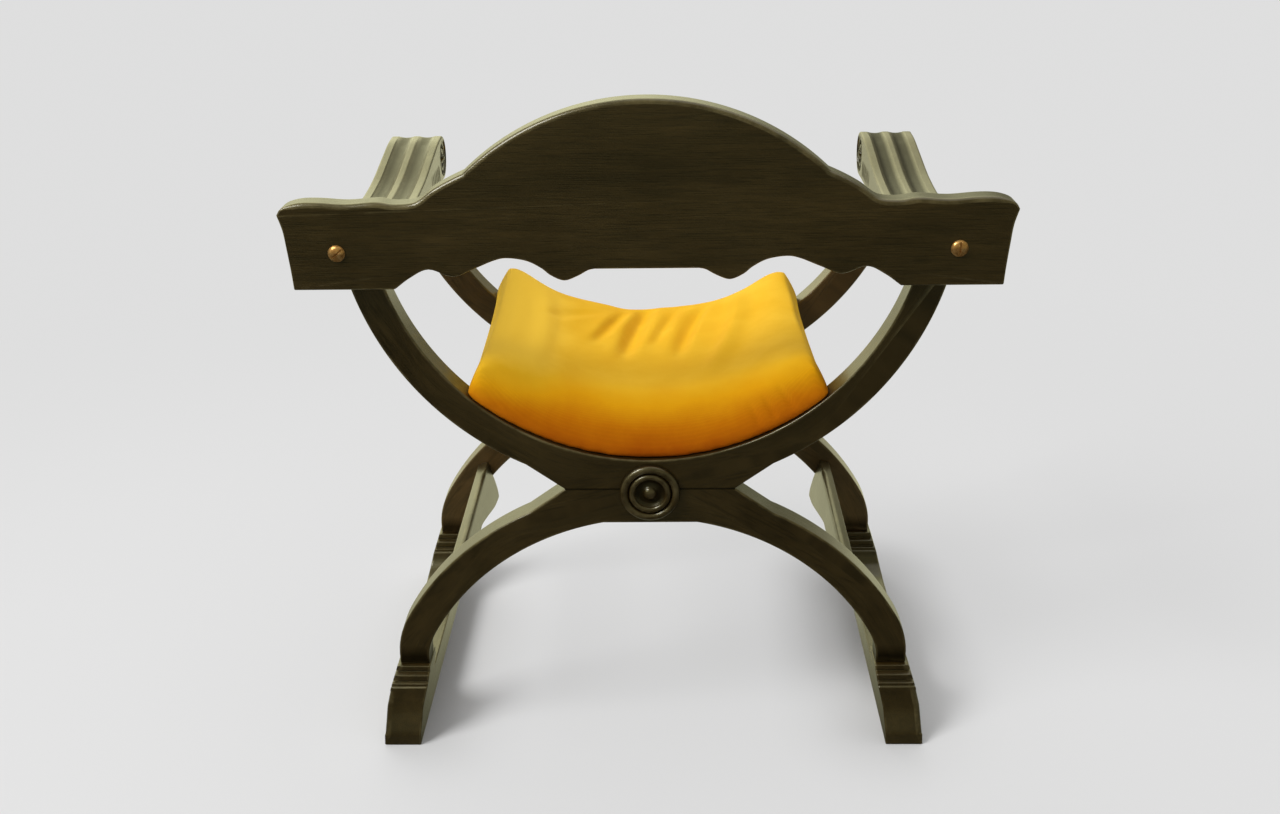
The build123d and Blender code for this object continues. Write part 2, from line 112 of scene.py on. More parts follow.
# %% [markdown]
# ## From an outline to a sawn board
# Almost every timber of this chair starts as an outline drawn on a plank. Its surface is a function of
# two parameters: the place along the outline, and the place through the thickness. Near each face the
# outline is drawn in along a quarter circle, which gives the soft arris that a scraper and years of
# hands leave. A Bevel modifier could do that too, but worked out here, the arris can change along an
# edge, and its wear can be stored for the finish.

# %% Outline helpers
def circle_part(centre, radius, start, end, count):
    """Points on a circle: the centre plus radius times cosine and sine of evenly spaced angles."""
    angle = np.radians(np.linspace(start, end, count))
    return np.column_stack([centre[0] + radius * np.cos(angle), centre[1] + radius * np.sin(angle)])


def smooth_line(points, each):
    """A cubic through the points, each stretch cut in so many steps: at a point, its slope is half the
    way between the point's neighbours."""
    points = np.asarray(points, float)
    before = np.vstack([2 * points[0] - points[1], points[:-2]])
    after = np.vstack([points[2:], 2 * points[-1] - points[-2]])
    start, end = points[:-1, None], points[1:, None]
    start_slope, end_slope = (end - before[:, None]) / 2, (after[:, None] - start) / 2
    t = np.linspace(0, 1, each, endpoint=False)[None, :, None]
    curve = ((2 * t**3 - 3 * t**2 + 1) * start + (t**3 - 2 * t**2 + t) * start_slope
             + (3 * t**2 - 2 * t**3) * end + (t**3 - t**2) * end_slope)
    return np.vstack([curve.reshape(-1, 2), points[-1]])


def parabola(t, start, corner, end):
    """Leaves the start towards the corner and reaches the end from it, while t goes from 0 to 1."""
    return (1 - t) ** 2 * start + 2 * t * (1 - t) * corner + t**2 * end


def bent_line(start, corner, end, count):
    """Points along one such parabola."""
    return parabola(np.linspace(0, 1, count)[:, None], start, corner, end)


def straight(start, end, step=0.012):
    """Evenly spaced points from start to end, about one step apart."""
    start, end = np.array(start, float), np.array(end, float)
    count = max(int(np.linalg.norm(end - start) / step), 1) + 1
    return start + np.linspace(0, 1, count)[:, None] * (end - start)


def join(*runs):
    """One closed outline from runs of points; a point that repeats the one before it is dropped."""
    line = np.vstack([np.atleast_2d(run) for run in runs])
    step = np.linalg.norm(line - np.roll(line, 1, axis=0), axis=1)
    return line[step > 1e-5]


def mirrored(run):
    """The same run on the other side of the middle line, in the opposite order."""
    return (np.asarray(run) * [-1, 1])[::-1]


def corner_turns(outline):
    """The sides before and after each point, and the turn from one to the other in radians."""
    back = outline - np.roll(outline, 1, axis=0)
    ahead = np.roll(outline, -1, axis=0) - outline
    crossed = back[:, 0] * ahead[:, 1] - back[:, 1] * ahead[:, 0]
    return back, ahead, np.arctan2(crossed, (back * ahead).sum(1))


def ease_corners(outline, radius, steps=5, sharper_than=0.45):
    """Rounds each corner that turns by more than sharper_than radians. The corner becomes a parabola
    between two points on its sides, each at radius times the tangent of half the turn, and never
    further away than 0.45 of a side."""
    back, ahead, turn = corner_turns(outline)
    back_length = np.linalg.norm(back, axis=1)
    ahead_length = np.linalg.norm(ahead, axis=1)
    turn = np.abs(turn)
    corner = turn > sharper_than
    cut = np.minimum(radius * np.tan(turn / 2), 0.45 * np.minimum(back_length, ahead_length)) * corner
    start = outline - (cut / back_length)[:, None] * back
    end = outline + (cut / ahead_length)[:, None] * ahead
    t = np.linspace(0, 1, steps)[None, :, None]
    curve = parabola(t, start[:, None], outline[:, None], end[:, None])
    return curve[corner[:, None] | (np.arange(steps) == 0)]


def outward(outline):
    """The direction away from the inside at each point, lengthened at corners so that both sides of the
    corner move by the same distance: twice the sum of the two side normals over its own square."""
    ahead = np.roll(outline, -1, axis=0) - outline
    ahead /= np.linalg.norm(ahead, axis=1, keepdims=True)
    side = np.column_stack([ahead[:, 1], -ahead[:, 0]])
    both = side + np.roll(side, 1, axis=0)
    return 2 * both / np.maximum((both**2).sum(1, keepdims=True), 1.0)


def room(outline, share=0.85):
    """How far each point can be drawn in before the outline crosses itself. A side gets shorter by the
    inset times the sum of the tangents of half the turns at its ends, so its length divided by that sum
    is the most it can take. Each point keeps to the least of its own and its neighbours' room."""
    ahead, turn = corner_turns(outline)[1:]
    half = np.tan(turn / 2)
    loss = half + np.roll(half, -1)
    side_room = np.where(loss > 1e-6, np.linalg.norm(ahead, axis=1) / np.maximum(loss, 1e-6), 1.0)
    near = [np.roll(side_room, shift) for shift in (-1, 0, 1, 2)]
    return share * np.minimum(np.min(near, axis=0), 1.0)


# %% Board helpers
def board_rings(thickness, near, far, steps=5, beside=0.0012):
    """Insets, depths and wear of the rings of a board, from its near face to its far face.

    On an arris of radius r the inset is r(1 - sin a) and the depth r(1 - cos a), a from 0 to 90
    degrees. Wear is 1 on the arris and 0 a little beside it."""
    near, far = np.atleast_1d(near).astype(float), np.atleast_1d(far).astype(float)
    near, far = np.broadcast_arrays(near, far)
    turn = np.linspace(0, math.pi / 2, steps)[:, None]
    insets = np.vstack([near + beside, near * (1 - np.sin(turn)), 0 * near, 0 * far,
                        far * (1 - np.cos(turn)), far + beside])
    depths = np.vstack([0 * near, near * (1 - np.cos(turn)), near + beside, thickness - far - beside,
                        thickness - far * (1 - np.sin(turn)), thickness + 0 * far])
    wear_and_shade = np.concatenate([[0], np.ones(steps), [0, 0], np.ones(steps), [0]])
    return insets, depths, wear_and_shade


def ring_faces(rings, count):
    """Quads between neighbouring rings of points numbered ring by ring, and one face over each end."""
    ring, point = np.meshgrid(np.arange(rings - 1), np.arange(count), indexing="ij")
    beside = (point + 1) % count
    quads = np.stack([ring * count + point, ring * count + beside,
                      (ring + 1) * count + beside, (ring + 1) * count + point], axis=-1)
    last_ring = range((rings - 1) * count, rings * count)
    return quads.reshape(-1, 4).tolist() + [list(range(count)), list(last_ring)[::-1]]


def carry(outline, insets, depths, wear_and_shade):
    """A closed surface from an outline and its rings: each ring is the outline drawn in by its inset, at
    its depth. The first and last rings are closed by one face each. Points are (a, b, depth). Wear is
    one number for each ring, or for each ring and point."""
    rings, count = insets.shape[0], len(outline)
    insets = np.minimum(np.broadcast_to(insets, (rings, count)), room(outline)[None])
    depths = np.broadcast_to(depths, (rings, count))
    flat = outline[None] - insets[..., None] * outward(outline)[None]
    points = np.concatenate([flat, depths[..., None]], axis=2).reshape(-1, 3)
    wear_and_shade = np.broadcast_to(np.reshape(wear_and_shade, (rings, -1)), (rings, count)).ravel()
    return points, ring_faces(rings, count), wear_and_shade


def sawn_board(outline, thickness, near, far, **details):
    """A board of this outline and thickness: points, faces and wear."""
    return carry(outline, *board_rings(thickness, near, far, **details))


# directions of an outline's two axes and of its thickness, for a board drawn in x and z or in y and z
seen_from_behind = np.array([[1, 0, 0], [0, 0, 1], [0, 1, 0]], float)
seen_from_side = np.array([[0, 1, 0], [0, 0, 1], [1, 0, 0]], float)
# every board of the left side is the right one's mirror image
both_sides = (("right", False), ("left", True))


# %% [markdown]
# ## From numbers to a piece
# Every piece goes through one function. It fills the mesh, cuts broad faces into strips where a carving
# or a bend needs points, closes the seams, and stores two things for the finish: a number for wear,
# which below 0 darkens the piece as gathered stain and dust and as painted shade, and "wood", the place
# of each point in the plank it was sawn from, with the grain along the first number. Object coordinates
# would do for straight timber, but on the arcs the grain has to follow the curve.

# %% The piece maker
def along_x(points):
    """Wood coordinates of timber whose grain runs from side to side."""
    return points[:, [0, 2, 1]]


def along_y(points):
    """Wood coordinates of timber whose grain runs from back to front."""
    return points[:, [1, 0, 2]]


def around(centre):
    """Wood coordinates of a bent timber: the length round the centre, the distance from it, and y."""
    towards_joint = -1 if centre[1] > glue_z else 1

    def grain(points):
        away = points[:, [0, 2]] - centre
        angle = np.arctan2(away[:, 0], towards_joint * away[:, 1])
        return np.column_stack([angle * outer_radius, np.hypot(*away.T), points[:, 1]])
    return grain


def cut_strips(shape, axis, places):
    """Cuts the faces of a bmesh by planes square to one axis."""
    normal = Vector((axis == 0, axis == 1, axis == 2))
    for place in places:
        geometry = shape.verts[:] + shape.edges[:] + shape.faces[:]
        bmesh.ops.bisect_plane(shape, geom=geometry, dist=1e-6, plane_co=normal * place, plane_no=normal)


def in_mesh_tools(mesh, change):
    """Opens the mesh in Blender's mesh tools, changes it there and writes it back."""
    shape = bmesh.new()
    shape.from_mesh(mesh)
    change(shape)
    shape.to_mesh(mesh)
    shape.free()


def read_rows(items, name, width):
    """Blender's numbers for all points or faces as an array with one row for each."""
    numbers = np.empty(len(items) * width)
    items.foreach_get(name, numbers)
    return numbers.reshape(-1, width)


planks = itertools.count(1)
plank_shift = np.array([0.37, 0.11, 0.05])
flat_from_corners = 12
sharp_angle = math.radians(38)


def make_piece(name, points, faces, wear_and_shade, finish, node, body="chair", slot="stained_wood",
               grain=along_x, cuts=(), reshape=None, darkened_by=None, mirror=False):
    """Makes one piece. cuts are (axis, places); reshape moves all points at once; the darkening
    function tells how much darker each point is, from gathered stain and dust and from painted shade.
    Each wooden piece has its pattern shifted by one step more, so that no two look sawn from the same
    place."""
    mesh = bpy.data.meshes.new(name)
    mesh.from_pydata(np.asarray(points).tolist(), [], faces)
    mesh.attributes.new("wear_and_shade", "FLOAT", "POINT").data.foreach_set("value", np.asarray(wear_and_shade, float))

    def close_and_cut(shape):
        bmesh.ops.remove_doubles(shape, verts=shape.verts, dist=2e-6)
        for axis, places in cuts:
            cut_strips(shape, axis, places)

    in_mesh_tools(mesh, close_and_cut)
    place = read_rows(mesh.vertices, "co", 3)
    if darkened_by is not None:
        worn = mesh.attributes["wear_and_shade"].data
        rubbed = read_rows(worn, "value", 1)[:, 0]
        # below 0 the number darkens the piece: gathered stain and dust, and painted shade
        worn.foreach_set("value", np.maximum(rubbed - darkened_by(place), -1))
    if reshape is not None:
        place = reshape(place)
    wood = grain(place) + (next(planks) if "wood" in slot else 0) * plank_shift
    if mirror:
        place = place * [-1, 1, 1]
    mesh.vertices.foreach_set("co", place.ravel())
    mesh.attributes.new("wood", "FLOAT_VECTOR", "POINT").data.foreach_set("vector", wood.ravel())
    in_mesh_tools(mesh, lambda shape: bmesh.ops.recalc_face_normals(shape, faces=shape.faces))
    # a face with many corners is a broad flat one; all others take their curve from their neighbours
    corners = read_rows(mesh.polygons, "loop_total", 1)[:, 0]
    mesh.polygons.foreach_set("use_smooth", corners < flat_from_corners)
    mesh.set_sharp_from_angle(angle=sharp_angle)
    mesh.materials.append(finish)
    piece = bpy.data.objects.new(name, mesh)
    bpy.context.scene.collection.objects.link(piece)
    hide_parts(node)
    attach(piece, body)
    print(name, len(mesh.vertices), "points", len(mesh.polygons), "faces")
    return piece


# %% [markdown]
# ## Waxed, stained wood
# The chair is stained a very dark olive brown and waxed until it shines. On the real wood the stain
# sinks deeper in the open pores, which run with the grain as short dark strokes, and it has worn thin on
# the arrises. A picture of wood would repeat and blur from near by, so the pattern is worked out from
# noise: broad bands for the year rings, stretched strokes for the pores, and clouds for uneven wax.

# %% Node helper
class NodeMaker:
    """Adds shader nodes to a material or a world. Each method gives back one output of its node."""

    def __init__(self, owner):
        owner.use_nodes = True
        self.tree = owner.node_tree

    def fill(self, node, inputs):
        """Each input takes another node's output, a number, or a colour of three numbers."""
        for key, source in inputs.items():
            entry = node.inputs[key]
            if isinstance(source, bpy.types.NodeSocket):
                self.tree.links.new(source, entry)
            else:
                entry.default_value = (*source, 1) if entry.type == "RGBA" else source
        return node

    def add(self, kind, output, inputs=None, **settings):
        """A new node of a kind, its output of that name."""
        node = self.tree.nodes.new("ShaderNode" + kind)
        for key, value in settings.items():
            setattr(node, key, value)
        return self.fill(node, inputs or {}).outputs[output]

    def noise(self, place, scale, detail, roughness=0.5, distortion=0.0):
        """Noise between 0 and 1, its scale in waves to the metre."""
        return self.add("TexNoise", "Fac", {"Vector": place, "Scale": scale, "Detail": detail,
                                            "Roughness": roughness, "Distortion": distortion})

    def ramp(self, share, *stops):
        """A colour for a share between 0 and 1, from stops of (share, colour) in rising order."""
        colour = self.add("ValToRGB", "Color", {"Fac": share})
        elements = colour.node.color_ramp.elements
        for element, stop in ((elements[0], stops[0]), (elements[1], stops[-1])):
            element.position, element.color = stop[0], (*stop[1], 1)
        for place, tone in stops[1:-1]:
            elements.new(place).color = (*tone, 1)
        return colour

    def carry_over(self, value, low, high, to_low, to_high, curve="LINEAR"):
        """Carries the range from low to high over to another range, and keeps to its ends beyond."""
        return self.add("MapRange", "Result", {"Value": value, "From Min": low, "From Max": high,
                                               "To Min": to_low, "To Max": to_high},
                        interpolation_type=curve)

    def number(self, operation, *sources, clamp=False):
        """One step of arithmetic on numbers."""
        return self.add("Math", "Value", dict(enumerate(sources)), operation=operation, use_clamp=clamp)

    def vector(self, operation, output, *sources):
        """One step of arithmetic on vectors."""
        return self.add("VectorMath", output, dict(enumerate(sources)), operation=operation)

    def mix(self, share, first, second, blend="MIX", data="RGBA"):
        """The first at share 0 and the second at 1."""
        return self.add("Mix", "Result", {"Factor": share, "A": first, "B": second},
                        data_type=data, blend_type=blend)

    def bump(self, height, strength, distance):
        """A normal tilted as if the surface had this height."""
        return self.add("Bump", "Normal", {"Height": height, "Strength": strength, "Distance": distance})

    def shade(self, inputs):
        """Sets the material's own shader."""
        return self.fill(self.tree.nodes["Principled BSDF"], inputs).outputs["BSDF"]


def new_material(name):
    """A new material and the maker of its nodes."""
    material = bpy.data.materials.new(name)
    print("finish", name)
    return material, NodeMaker(material)


# %% Wood finish
black, white = (0, 0, 0), (1, 1, 1)


def wood_finish(name, deep, mid, light, worn, gloss, wax=0.8):
    """Wood with a stain from deep to light, worn to another colour on the arrises."""
    material, nodes = new_material(name)
    wood = nodes.add("Attribute", "Vector", attribute_name="wood")
    wear_and_shade = nodes.add("Attribute", "Fac", attribute_name="wear_and_shade")

    # year rings: a stretched noise bends the bands, as a board sawn from a curved trunk shows them
    stretched = nodes.add("Mapping", "Vector", {"Vector": wood, "Scale": (1.6, 11.0, 11.0)})
    rings = nodes.noise(stretched, 9.0, 5.0, 0.62, 0.6)
    bent_rings = nodes.mix(0.45, rings, nodes.noise(stretched, 2.2, 3.0, 0.55), data="FLOAT")
    # pores: much longer than wide
    fine = nodes.add("Mapping", "Vector", {"Vector": wood, "Scale": (28.0, 900.0, 900.0)})
    pores = nodes.ramp(nodes.noise(fine, 1.0, 2.0), (0.36, black), (0.52, white))
    # clouds: uneven stain and wax
    clouds = nodes.noise(wood, 7.0, 4.0, 0.6)

    stain = nodes.ramp(bent_rings, (0.36, deep), (0.5, mid), (0.66, light))
    cloud_tone = nodes.ramp(clouds, (0.3, (0.72, 0.70, 0.66)), (0.7, (1.12, 1.1, 1.06)))
    stain = nodes.mix(1.0, stain, cloud_tone, "MULTIPLY")
    pore_tone = nodes.ramp(pores, (0.0, (0.5, 0.47, 0.42)), (1.0, white))
    stain = nodes.mix(0.75, stain, pore_tone, "MULTIPLY")
    # wear: broken up by noise, so that it comes and goes along an edge
    patches = nodes.ramp(nodes.noise(wood, 26.0, 4.0, 0.7), (0.42, black), (0.68, white))
    rubbed = nodes.number("MULTIPLY", nodes.number("MULTIPLY", wear_and_shade, patches), 0.5, clamp=True)
    # below 0 the same number darkens: stain and dust gathered in a hollow, and painted shade in the
    # hollows and carvings and low on the legs
    clean_and_unshaded = nodes.carry_over(wear_and_shade, -1.0, 0.0, 0.25, 1.0)
    coloured = nodes.add("VectorMath", "Vector", operation="SCALE",
                         inputs={"Vector": nodes.mix(rubbed, stain, worn), "Scale": clean_and_unshaded})
    # the wax is a clear coat over the stain; the dust dulls it, and the painted shade dims its sheen too
    nodes.shade({"Base Color": coloured,
                 "Roughness": nodes.carry_over(clouds, 0.3, 0.7, gloss - 0.05, gloss + 0.09),
                 "Normal": nodes.bump(nodes.number("MULTIPLY_ADD", rings, 0.8, pores), 0.35, 0.0003),
                 "Specular IOR Level": nodes.number("MULTIPLY", clean_and_unshaded, 0.55),
                 "Specular Tint": (1.0, 0.92, 0.45),
                 "Coat Weight": nodes.number("MULTIPLY", clean_and_unshaded, wax),
                 "Coat Roughness": 0.24})
    return material


stained_wood = wood_finish("stained_wood", deep=(0.0195, 0.0105, 0.0018), mid=(0.029, 0.0162, 0.0028),
                           light=(0.041, 0.0236, 0.0046), worn=(0.14, 0.11, 0.045), gloss=0.38)
redder_wood = wood_finish("stained_wood_redder", deep=(0.046, 0.024, 0.0065), mid=(0.068, 0.035, 0.0095),
                          light=(0.092, 0.048, 0.0140), worn=(0.12, 0.085, 0.038), gloss=0.42)
plain_wood = wood_finish("plain_wood", deep=(0.03, 0.02, 0.009), mid=(0.05, 0.034, 0.016),
                         light=(0.075, 0.052, 0.025), worn=(0.11, 0.08, 0.04), gloss=0.62, wax=0.1)

# %% [markdown]
# ## The back board
# One plank crosses behind both arms. Its crest is a part of a circle, its shoulders run down into two
# ears with a lightly waved top, and its lower edge has arches and lobes cut with a bow saw. The maker
# has rounded the rear top edge over more than the others, where a hand takes hold of it. The outline
# could be traced point by point; here the crest is an arc and the rest is a smooth line through the few
# places that the eye notices.

# %% Back board
crest_radius = 0.2745
crest_end_x = 0.188
crest_centre = np.array([0.0, board_high[2] - crest_radius])
ear_tip_x = board_high[0]
ear_top_z = arm_z + 0.073
ear_corner = (ear_tip_x, ear_top_z - 0.012)
ear_foot = (ear_tip_x - 0.010, board_low[2])
ear_inner = (arm_low[0] - 0.007, board_low[2])
straight_x = 0.055
straight_z = arm_z + 0.0008
sharp_arris, hand_arris, front_arris = 0.0016, 0.0050, 0.0025

crest_half_angle = math.degrees(math.asin(crest_end_x / crest_radius))
crest = circle_part(crest_centre, crest_radius, 90 - crest_half_angle, 90, 48)
ear_length = ear_tip_x - crest_end_x
ear_shares = np.array([0.0, 0.046, 0.108, 0.174, 0.231, 0.282, 0.379, 0.472, 0.631, 0.779, 0.872, 0.938,
                       0.979, 1.0])
ear_rises = np.array([crest[0, 1] - ear_top_z, 0.0255, 0.0195, 0.012, 0.0035, -0.001, -0.002, 0.0005,
                      -0.0015, 0.0005, 0.0005, -0.002, -0.006, -0.012])
ear_top = np.column_stack([crest_end_x + ear_length * ear_shares, ear_top_z + ear_rises])
ear_side = [ear_corner, (ear_tip_x - 0.0045, ear_corner[1] - 0.0165), (ear_tip_x - 0.0065, 0.622),
            (ear_tip_x - 0.0088, 0.596), ear_foot]
wave_length = ear_inner[0] - straight_x
wave_shares = np.array([1.0, 0.919, 0.825, 0.706, 0.597, 0.498, 0.431, 0.336, 0.265, 0.218, 0.152, 0.085,
                        0.033, 0.0])
wave_rises = np.array([ear_inner[1] - arm_z, -0.0075, 0.0013, -0.0065, 0.0018, 0.0104, 0.0130, 0.0098,
                       0.0020, -0.0060, -0.0117, -0.0070, -0.0009, 0.0008])
waves = np.column_stack([straight_x + wave_length * wave_shares, arm_z + wave_rises])

# counter-clockwise as seen from behind: lower edge to the right, up the ear, over the crest
right_run = np.vstack([
    straight((0, straight_z), (straight_x, straight_z)),
    smooth_line(waves[::-1], 6),
    straight(ear_inner, ear_foot),
    smooth_line(ear_side[::-1], 5),
    smooth_line(ear_top[::-1], 5),
    crest,
])
board_outline = ease_corners(join(right_run, mirrored(right_run)), 0.004)
facing_up = np.clip(outward(board_outline)[:, 1], 0, 1)
# the rounding runs out before the ears' tips, whose corners turn in a tighter curve than it
towards_tip = np.clip((ear_tip_x - np.abs(board_outline[:, 0]) - 0.004) / 0.014, 0, 1)
rounding = np.clip(facing_up * 1.5 - 0.25, 0, 1) * towards_tip
rear_arris = sharp_arris + (hand_arris - sharp_arris) * rounding
board_thickness = board_high[1] - board_low[1]
points, faces, wear_and_shade = sawn_board(board_outline, board_thickness, rear_arris, front_arris, steps=7,
                                 beside=0.0005)
crest_dust, left_ear_dust, right_ear_dust = 0.18, 0.24, 0.44
ear_start_x = 0.170


def dust_on_board(place):
    """Dust dulls the top of the crest a little, the ears more, and the right ear most. It lies on the
    edges only, so it starts 0.3 mm in from the rear face and is full 3 mm further."""
    on_edge = np.clip((place[:, 1] - board_low[1] - 0.0003) / 0.003, 0, 1)
    on_ear = np.clip((np.abs(place[:, 0]) - ear_start_x) / 0.05, 0, 1)
    return on_edge * (crest_dust + on_ear * np.where(place[:, 0] > 0, right_ear_dust, left_ear_dust))


points = points @ seen_from_behind + [0, board_low[1], 0]
make_piece("back_board_plank", points, faces, wear_and_shade, stained_wood, "back_board", darkened_by=dust_on_board)

# %% [markdown]
# ## The four arcs
# Each frame is two arcs, sawn from thick planks and glued back to back where they touch. There the
# timber is thicker, so that the joint has a broad flat to hold on. A bent tube with a square section
# could stand for an arc, but it would miss the straight flare at the joint, the sharp notch beside it
# and the straight lower part of the leg, so each arc is an outline of its own.

# %% Arc outlines
notch_x = 0.097
flare_x = 0.140
leg_outer_x = lower_high[0]
leg_inner_x = leg_outer_x - arc_width
key_z = glue_z - 0.043
arc_step = 0.006
foot_socket = 0.028


def angle_at(centre, x, z):
    """Degrees from the +x direction to a place, seen from the centre."""
    return math.degrees(math.atan2(z - centre[1], x - centre[0]))


def circle_z(radius, x):
    """How far a circle is above or below its centre, at a distance x beside it."""
    return math.sqrt(radius**2 - x**2)


def circle_run(centre, radius, start, end):
    """A part of a circle with points about one arc step apart."""
    count = int(abs(math.radians(end - start)) * radius / arc_step) + 2
    return circle_part(centre, radius, start, end, count)


def upper_arc_outline():
    """Counter-clockwise from the middle of the glue plane: flare, outer circle, top end, inner circle."""
    end_rise = arm_z - upper_centre[1]
    flare_z = upper_centre[1] - circle_z(outer_radius, flare_x)
    outer_end = (circle_z(outer_radius, end_rise), arm_z)
    inner_end = (circle_z(inner_radius, end_rise), arm_z)
    right = np.vstack([
        straight((0, glue_z), (notch_x, glue_z)),
        straight((notch_x, glue_z), (flare_x, flare_z)),
        circle_run(upper_centre, outer_radius, angle_at(upper_centre, flare_x, flare_z),
                   angle_at(upper_centre, *outer_end)),
        straight(outer_end, inner_end),
    ])
    start = angle_at(upper_centre, *inner_end)
    inner = circle_run(upper_centre, inner_radius, start, -180 - start)
    return join(right, inner, mirrored(right))


def lower_arc_outline():
    """Counter-clockwise from the middle of the key: inner circle, leg, outer circle, flare, glue plane."""
    key_x = circle_z(lower_inner_radius, key_z - lower_centre[1])
    inner_leg_z = lower_centre[1] + circle_z(lower_inner_radius, leg_inner_x)
    outer_leg_z = lower_centre[1] + circle_z(outer_radius, leg_outer_x)
    # each circle is left a few degrees before it would stand upright, and a bend leads down from there
    inner_angle = angle_at(lower_centre, leg_inner_x, inner_leg_z) + 4
    outer_angle = angle_at(lower_centre, leg_outer_x, outer_leg_z) + 5
    inner_bend = circle_part(lower_centre, lower_inner_radius, inner_angle, 0, 2)[0]
    outer_bend = circle_part(lower_centre, outer_radius, outer_angle, 0, 2)[0]
    flare_z = lower_centre[1] + circle_z(outer_radius, flare_x)
    foot_z = lower_low[2] + foot_socket
    inner_low = (leg_inner_x, foot_z + 0.010)
    outer_low = (leg_outer_x, foot_z + 0.008)
    right = np.vstack([
        straight((0, key_z), (key_x, key_z)),
        circle_run(lower_centre, lower_inner_radius, angle_at(lower_centre, key_x, key_z),
                   angle_at(lower_centre, *inner_bend)),
        bent_line(inner_bend, (leg_inner_x, inner_leg_z), inner_low, 7),
        straight(inner_low, (leg_inner_x, foot_z)),
        straight((leg_inner_x, foot_z), (leg_outer_x, foot_z)),
        straight((leg_outer_x, foot_z), outer_low),
        bent_line(outer_low, (leg_outer_x + 0.001, outer_leg_z), outer_bend, 9),
        circle_run(lower_centre, outer_radius, angle_at(lower_centre, *outer_bend),
                   angle_at(lower_centre, flare_x, flare_z)),
        straight((flare_x, flare_z), (notch_x, glue_z)),
        straight((notch_x, glue_z), (0, glue_z)),
    ])
    return join(right, mirrored(right))


# %% Arcs
corner_radius = 0.0025
arc_arris, glued_arris = 0.0018, 0.0004
arc_shapes = {"upper_arc": (ease_corners(upper_arc_outline(), corner_radius), upper_centre),
              "lower_arc": (ease_corners(lower_arc_outline(), corner_radius), lower_centre)}
frames = {"rear": (rear_y, stained_wood), "front": (front_inside_y, redder_wood)}
leg_rows = foot_high[2] + np.array([0.002, 0.006, 0.010, 0.014, 0.019, 0.025])


def painted_shade_low_down(points):
    """Painted shade low on each leg, darkest at the mouldings and gone about 25 mm above them."""
    return 1.7 * np.clip(1 - (points[:, 2] - foot_high[2]) / 0.025, 0, 1)


for place, (start_y, finish) in frames.items():
    for part, (outline, centre) in arc_shapes.items():
        # a glued edge is left sharp, and the stain has run into the joint
        glued = (np.abs(outline[:, 1] - glue_z) < 1e-4) & (np.abs(outline[:, 0]) < notch_x + 1e-4)
        arris = np.where(glued, glued_arris, arc_arris)
        insets, depths, wear_and_shade = board_rings(timber, arris, arris)
        wear_and_shade = wear_and_shade[:, None] * np.where(glued, -1, 1)
        points, faces, wear_and_shade = carry(outline, insets, depths, wear_and_shade)
        make_piece(f"{place}_{part}_timber", points @ seen_from_behind + [0, start_y, 0], faces, wear_and_shade,
                   finish, f"{place}_{part}", grain=around(centre), cuts=[(2, leg_rows)],
                   darkened_by=painted_shade_low_down)

# %% [markdown]
# ## Turned rosettes
# A rosette covers the middle of each crossing. It comes off a lathe, so it is a profile carried round an
# axis: a bead, a hollow, a second bead and a button. Blender's Screw modifier could do it, but then the
# wear on the beads would have nowhere to be stored.

# %% Turned pieces
def turn(profile, wear_and_shade, around_place, towards, steps=72):
    """A surface of revolution about an axis along y: radius r becomes x = r cos a and z = r sin a, and
    height goes along y, to the front for towards = 1 and to the rear for -1."""
    profile = np.asarray(profile, float)
    angle = np.linspace(0, 2 * math.pi, steps, endpoint=False)
    radius, height = profile[:, 0, None], profile[:, 1, None]
    points = np.stack([around_place[0] + radius * np.cos(angle),
                       around_place[1] + towards * height + 0 * angle,
                       around_place[2] + radius * np.sin(angle)], axis=2).reshape(-1, 3)
    return points, ring_faces(len(profile), steps), np.repeat(wear_and_shade, steps)


# %% Rosettes
rosette_low, rosette_high = span("rear_rosette")
rosette_radius = (rosette_high[0] - rosette_low[0]) / 2
rosette_z = (rosette_high[2] + rosette_low[2]) / 2
rosette_proud = rear_y - rosette_low[1]
spigot_radius, spigot_length = 0.008, 0.012


def bead(centre_radius, bead_radius, low_inside, low_outside, count=10):
    """A rounded ring in a turned profile, from its outer foot to its inner foot: part of a circle."""
    centre_height = rosette_proud - bead_radius
    outer = math.asin((low_outside - centre_height) / bead_radius)
    inner = math.pi - math.asin((low_inside - centre_height) / bead_radius)
    angle = np.linspace(outer, inner, count)
    return np.column_stack([centre_radius + bead_radius * np.cos(angle),
                            centre_height + bead_radius * np.sin(angle)])


outer_bead = bead(rosette_radius - 0.0045, 0.0045, 0.0058, 0.0048)
inner_bead = bead(0.0205, 0.0034, 0.0052, 0.0058)
button_angle = np.linspace(0.35, math.pi / 2, 9)
button = np.column_stack([0.0078 * np.cos(button_angle), 0.0028 + 0.0062 * np.sin(button_angle)])[:-1]
rosette_profile = np.vstack([
    [(spigot_radius - 0.001, -spigot_length), (spigot_radius, -spigot_length + 0.001)],
    [(spigot_radius, 0), (rosette_radius - 0.0012, 0), (rosette_radius, 0.0012), (rosette_radius, 0.0045)],
    outer_bead,
    smooth_line([outer_bead[-1], (0.0265, 0.0034), inner_bead[0]], 4)[1:-1],
    inner_bead,
    smooth_line([inner_bead[-1], (0.0135, 0.0028), (0.0092, 0.0036)], 4)[1:],
    button,
    [(0.0008, 0.009)],
])
# the beads take wear, and the hollows between them are darkened, as gathered stain and as painted shade
rosette_wear_and_shade = np.clip((rosette_profile[:, 1] - 0.0062) / 0.0026, -0.7, 1)
for place, start_y, towards in (("rear", rear_y, -1), ("front", front_y, 1)):
    points, faces, wear_and_shade = turn(rosette_profile, rosette_wear_and_shade, (0, start_y, rosette_z), towards)
    make_piece(place + "_rosette_turning", points, faces, wear_and_shade, stained_wood, place + "_rosette")

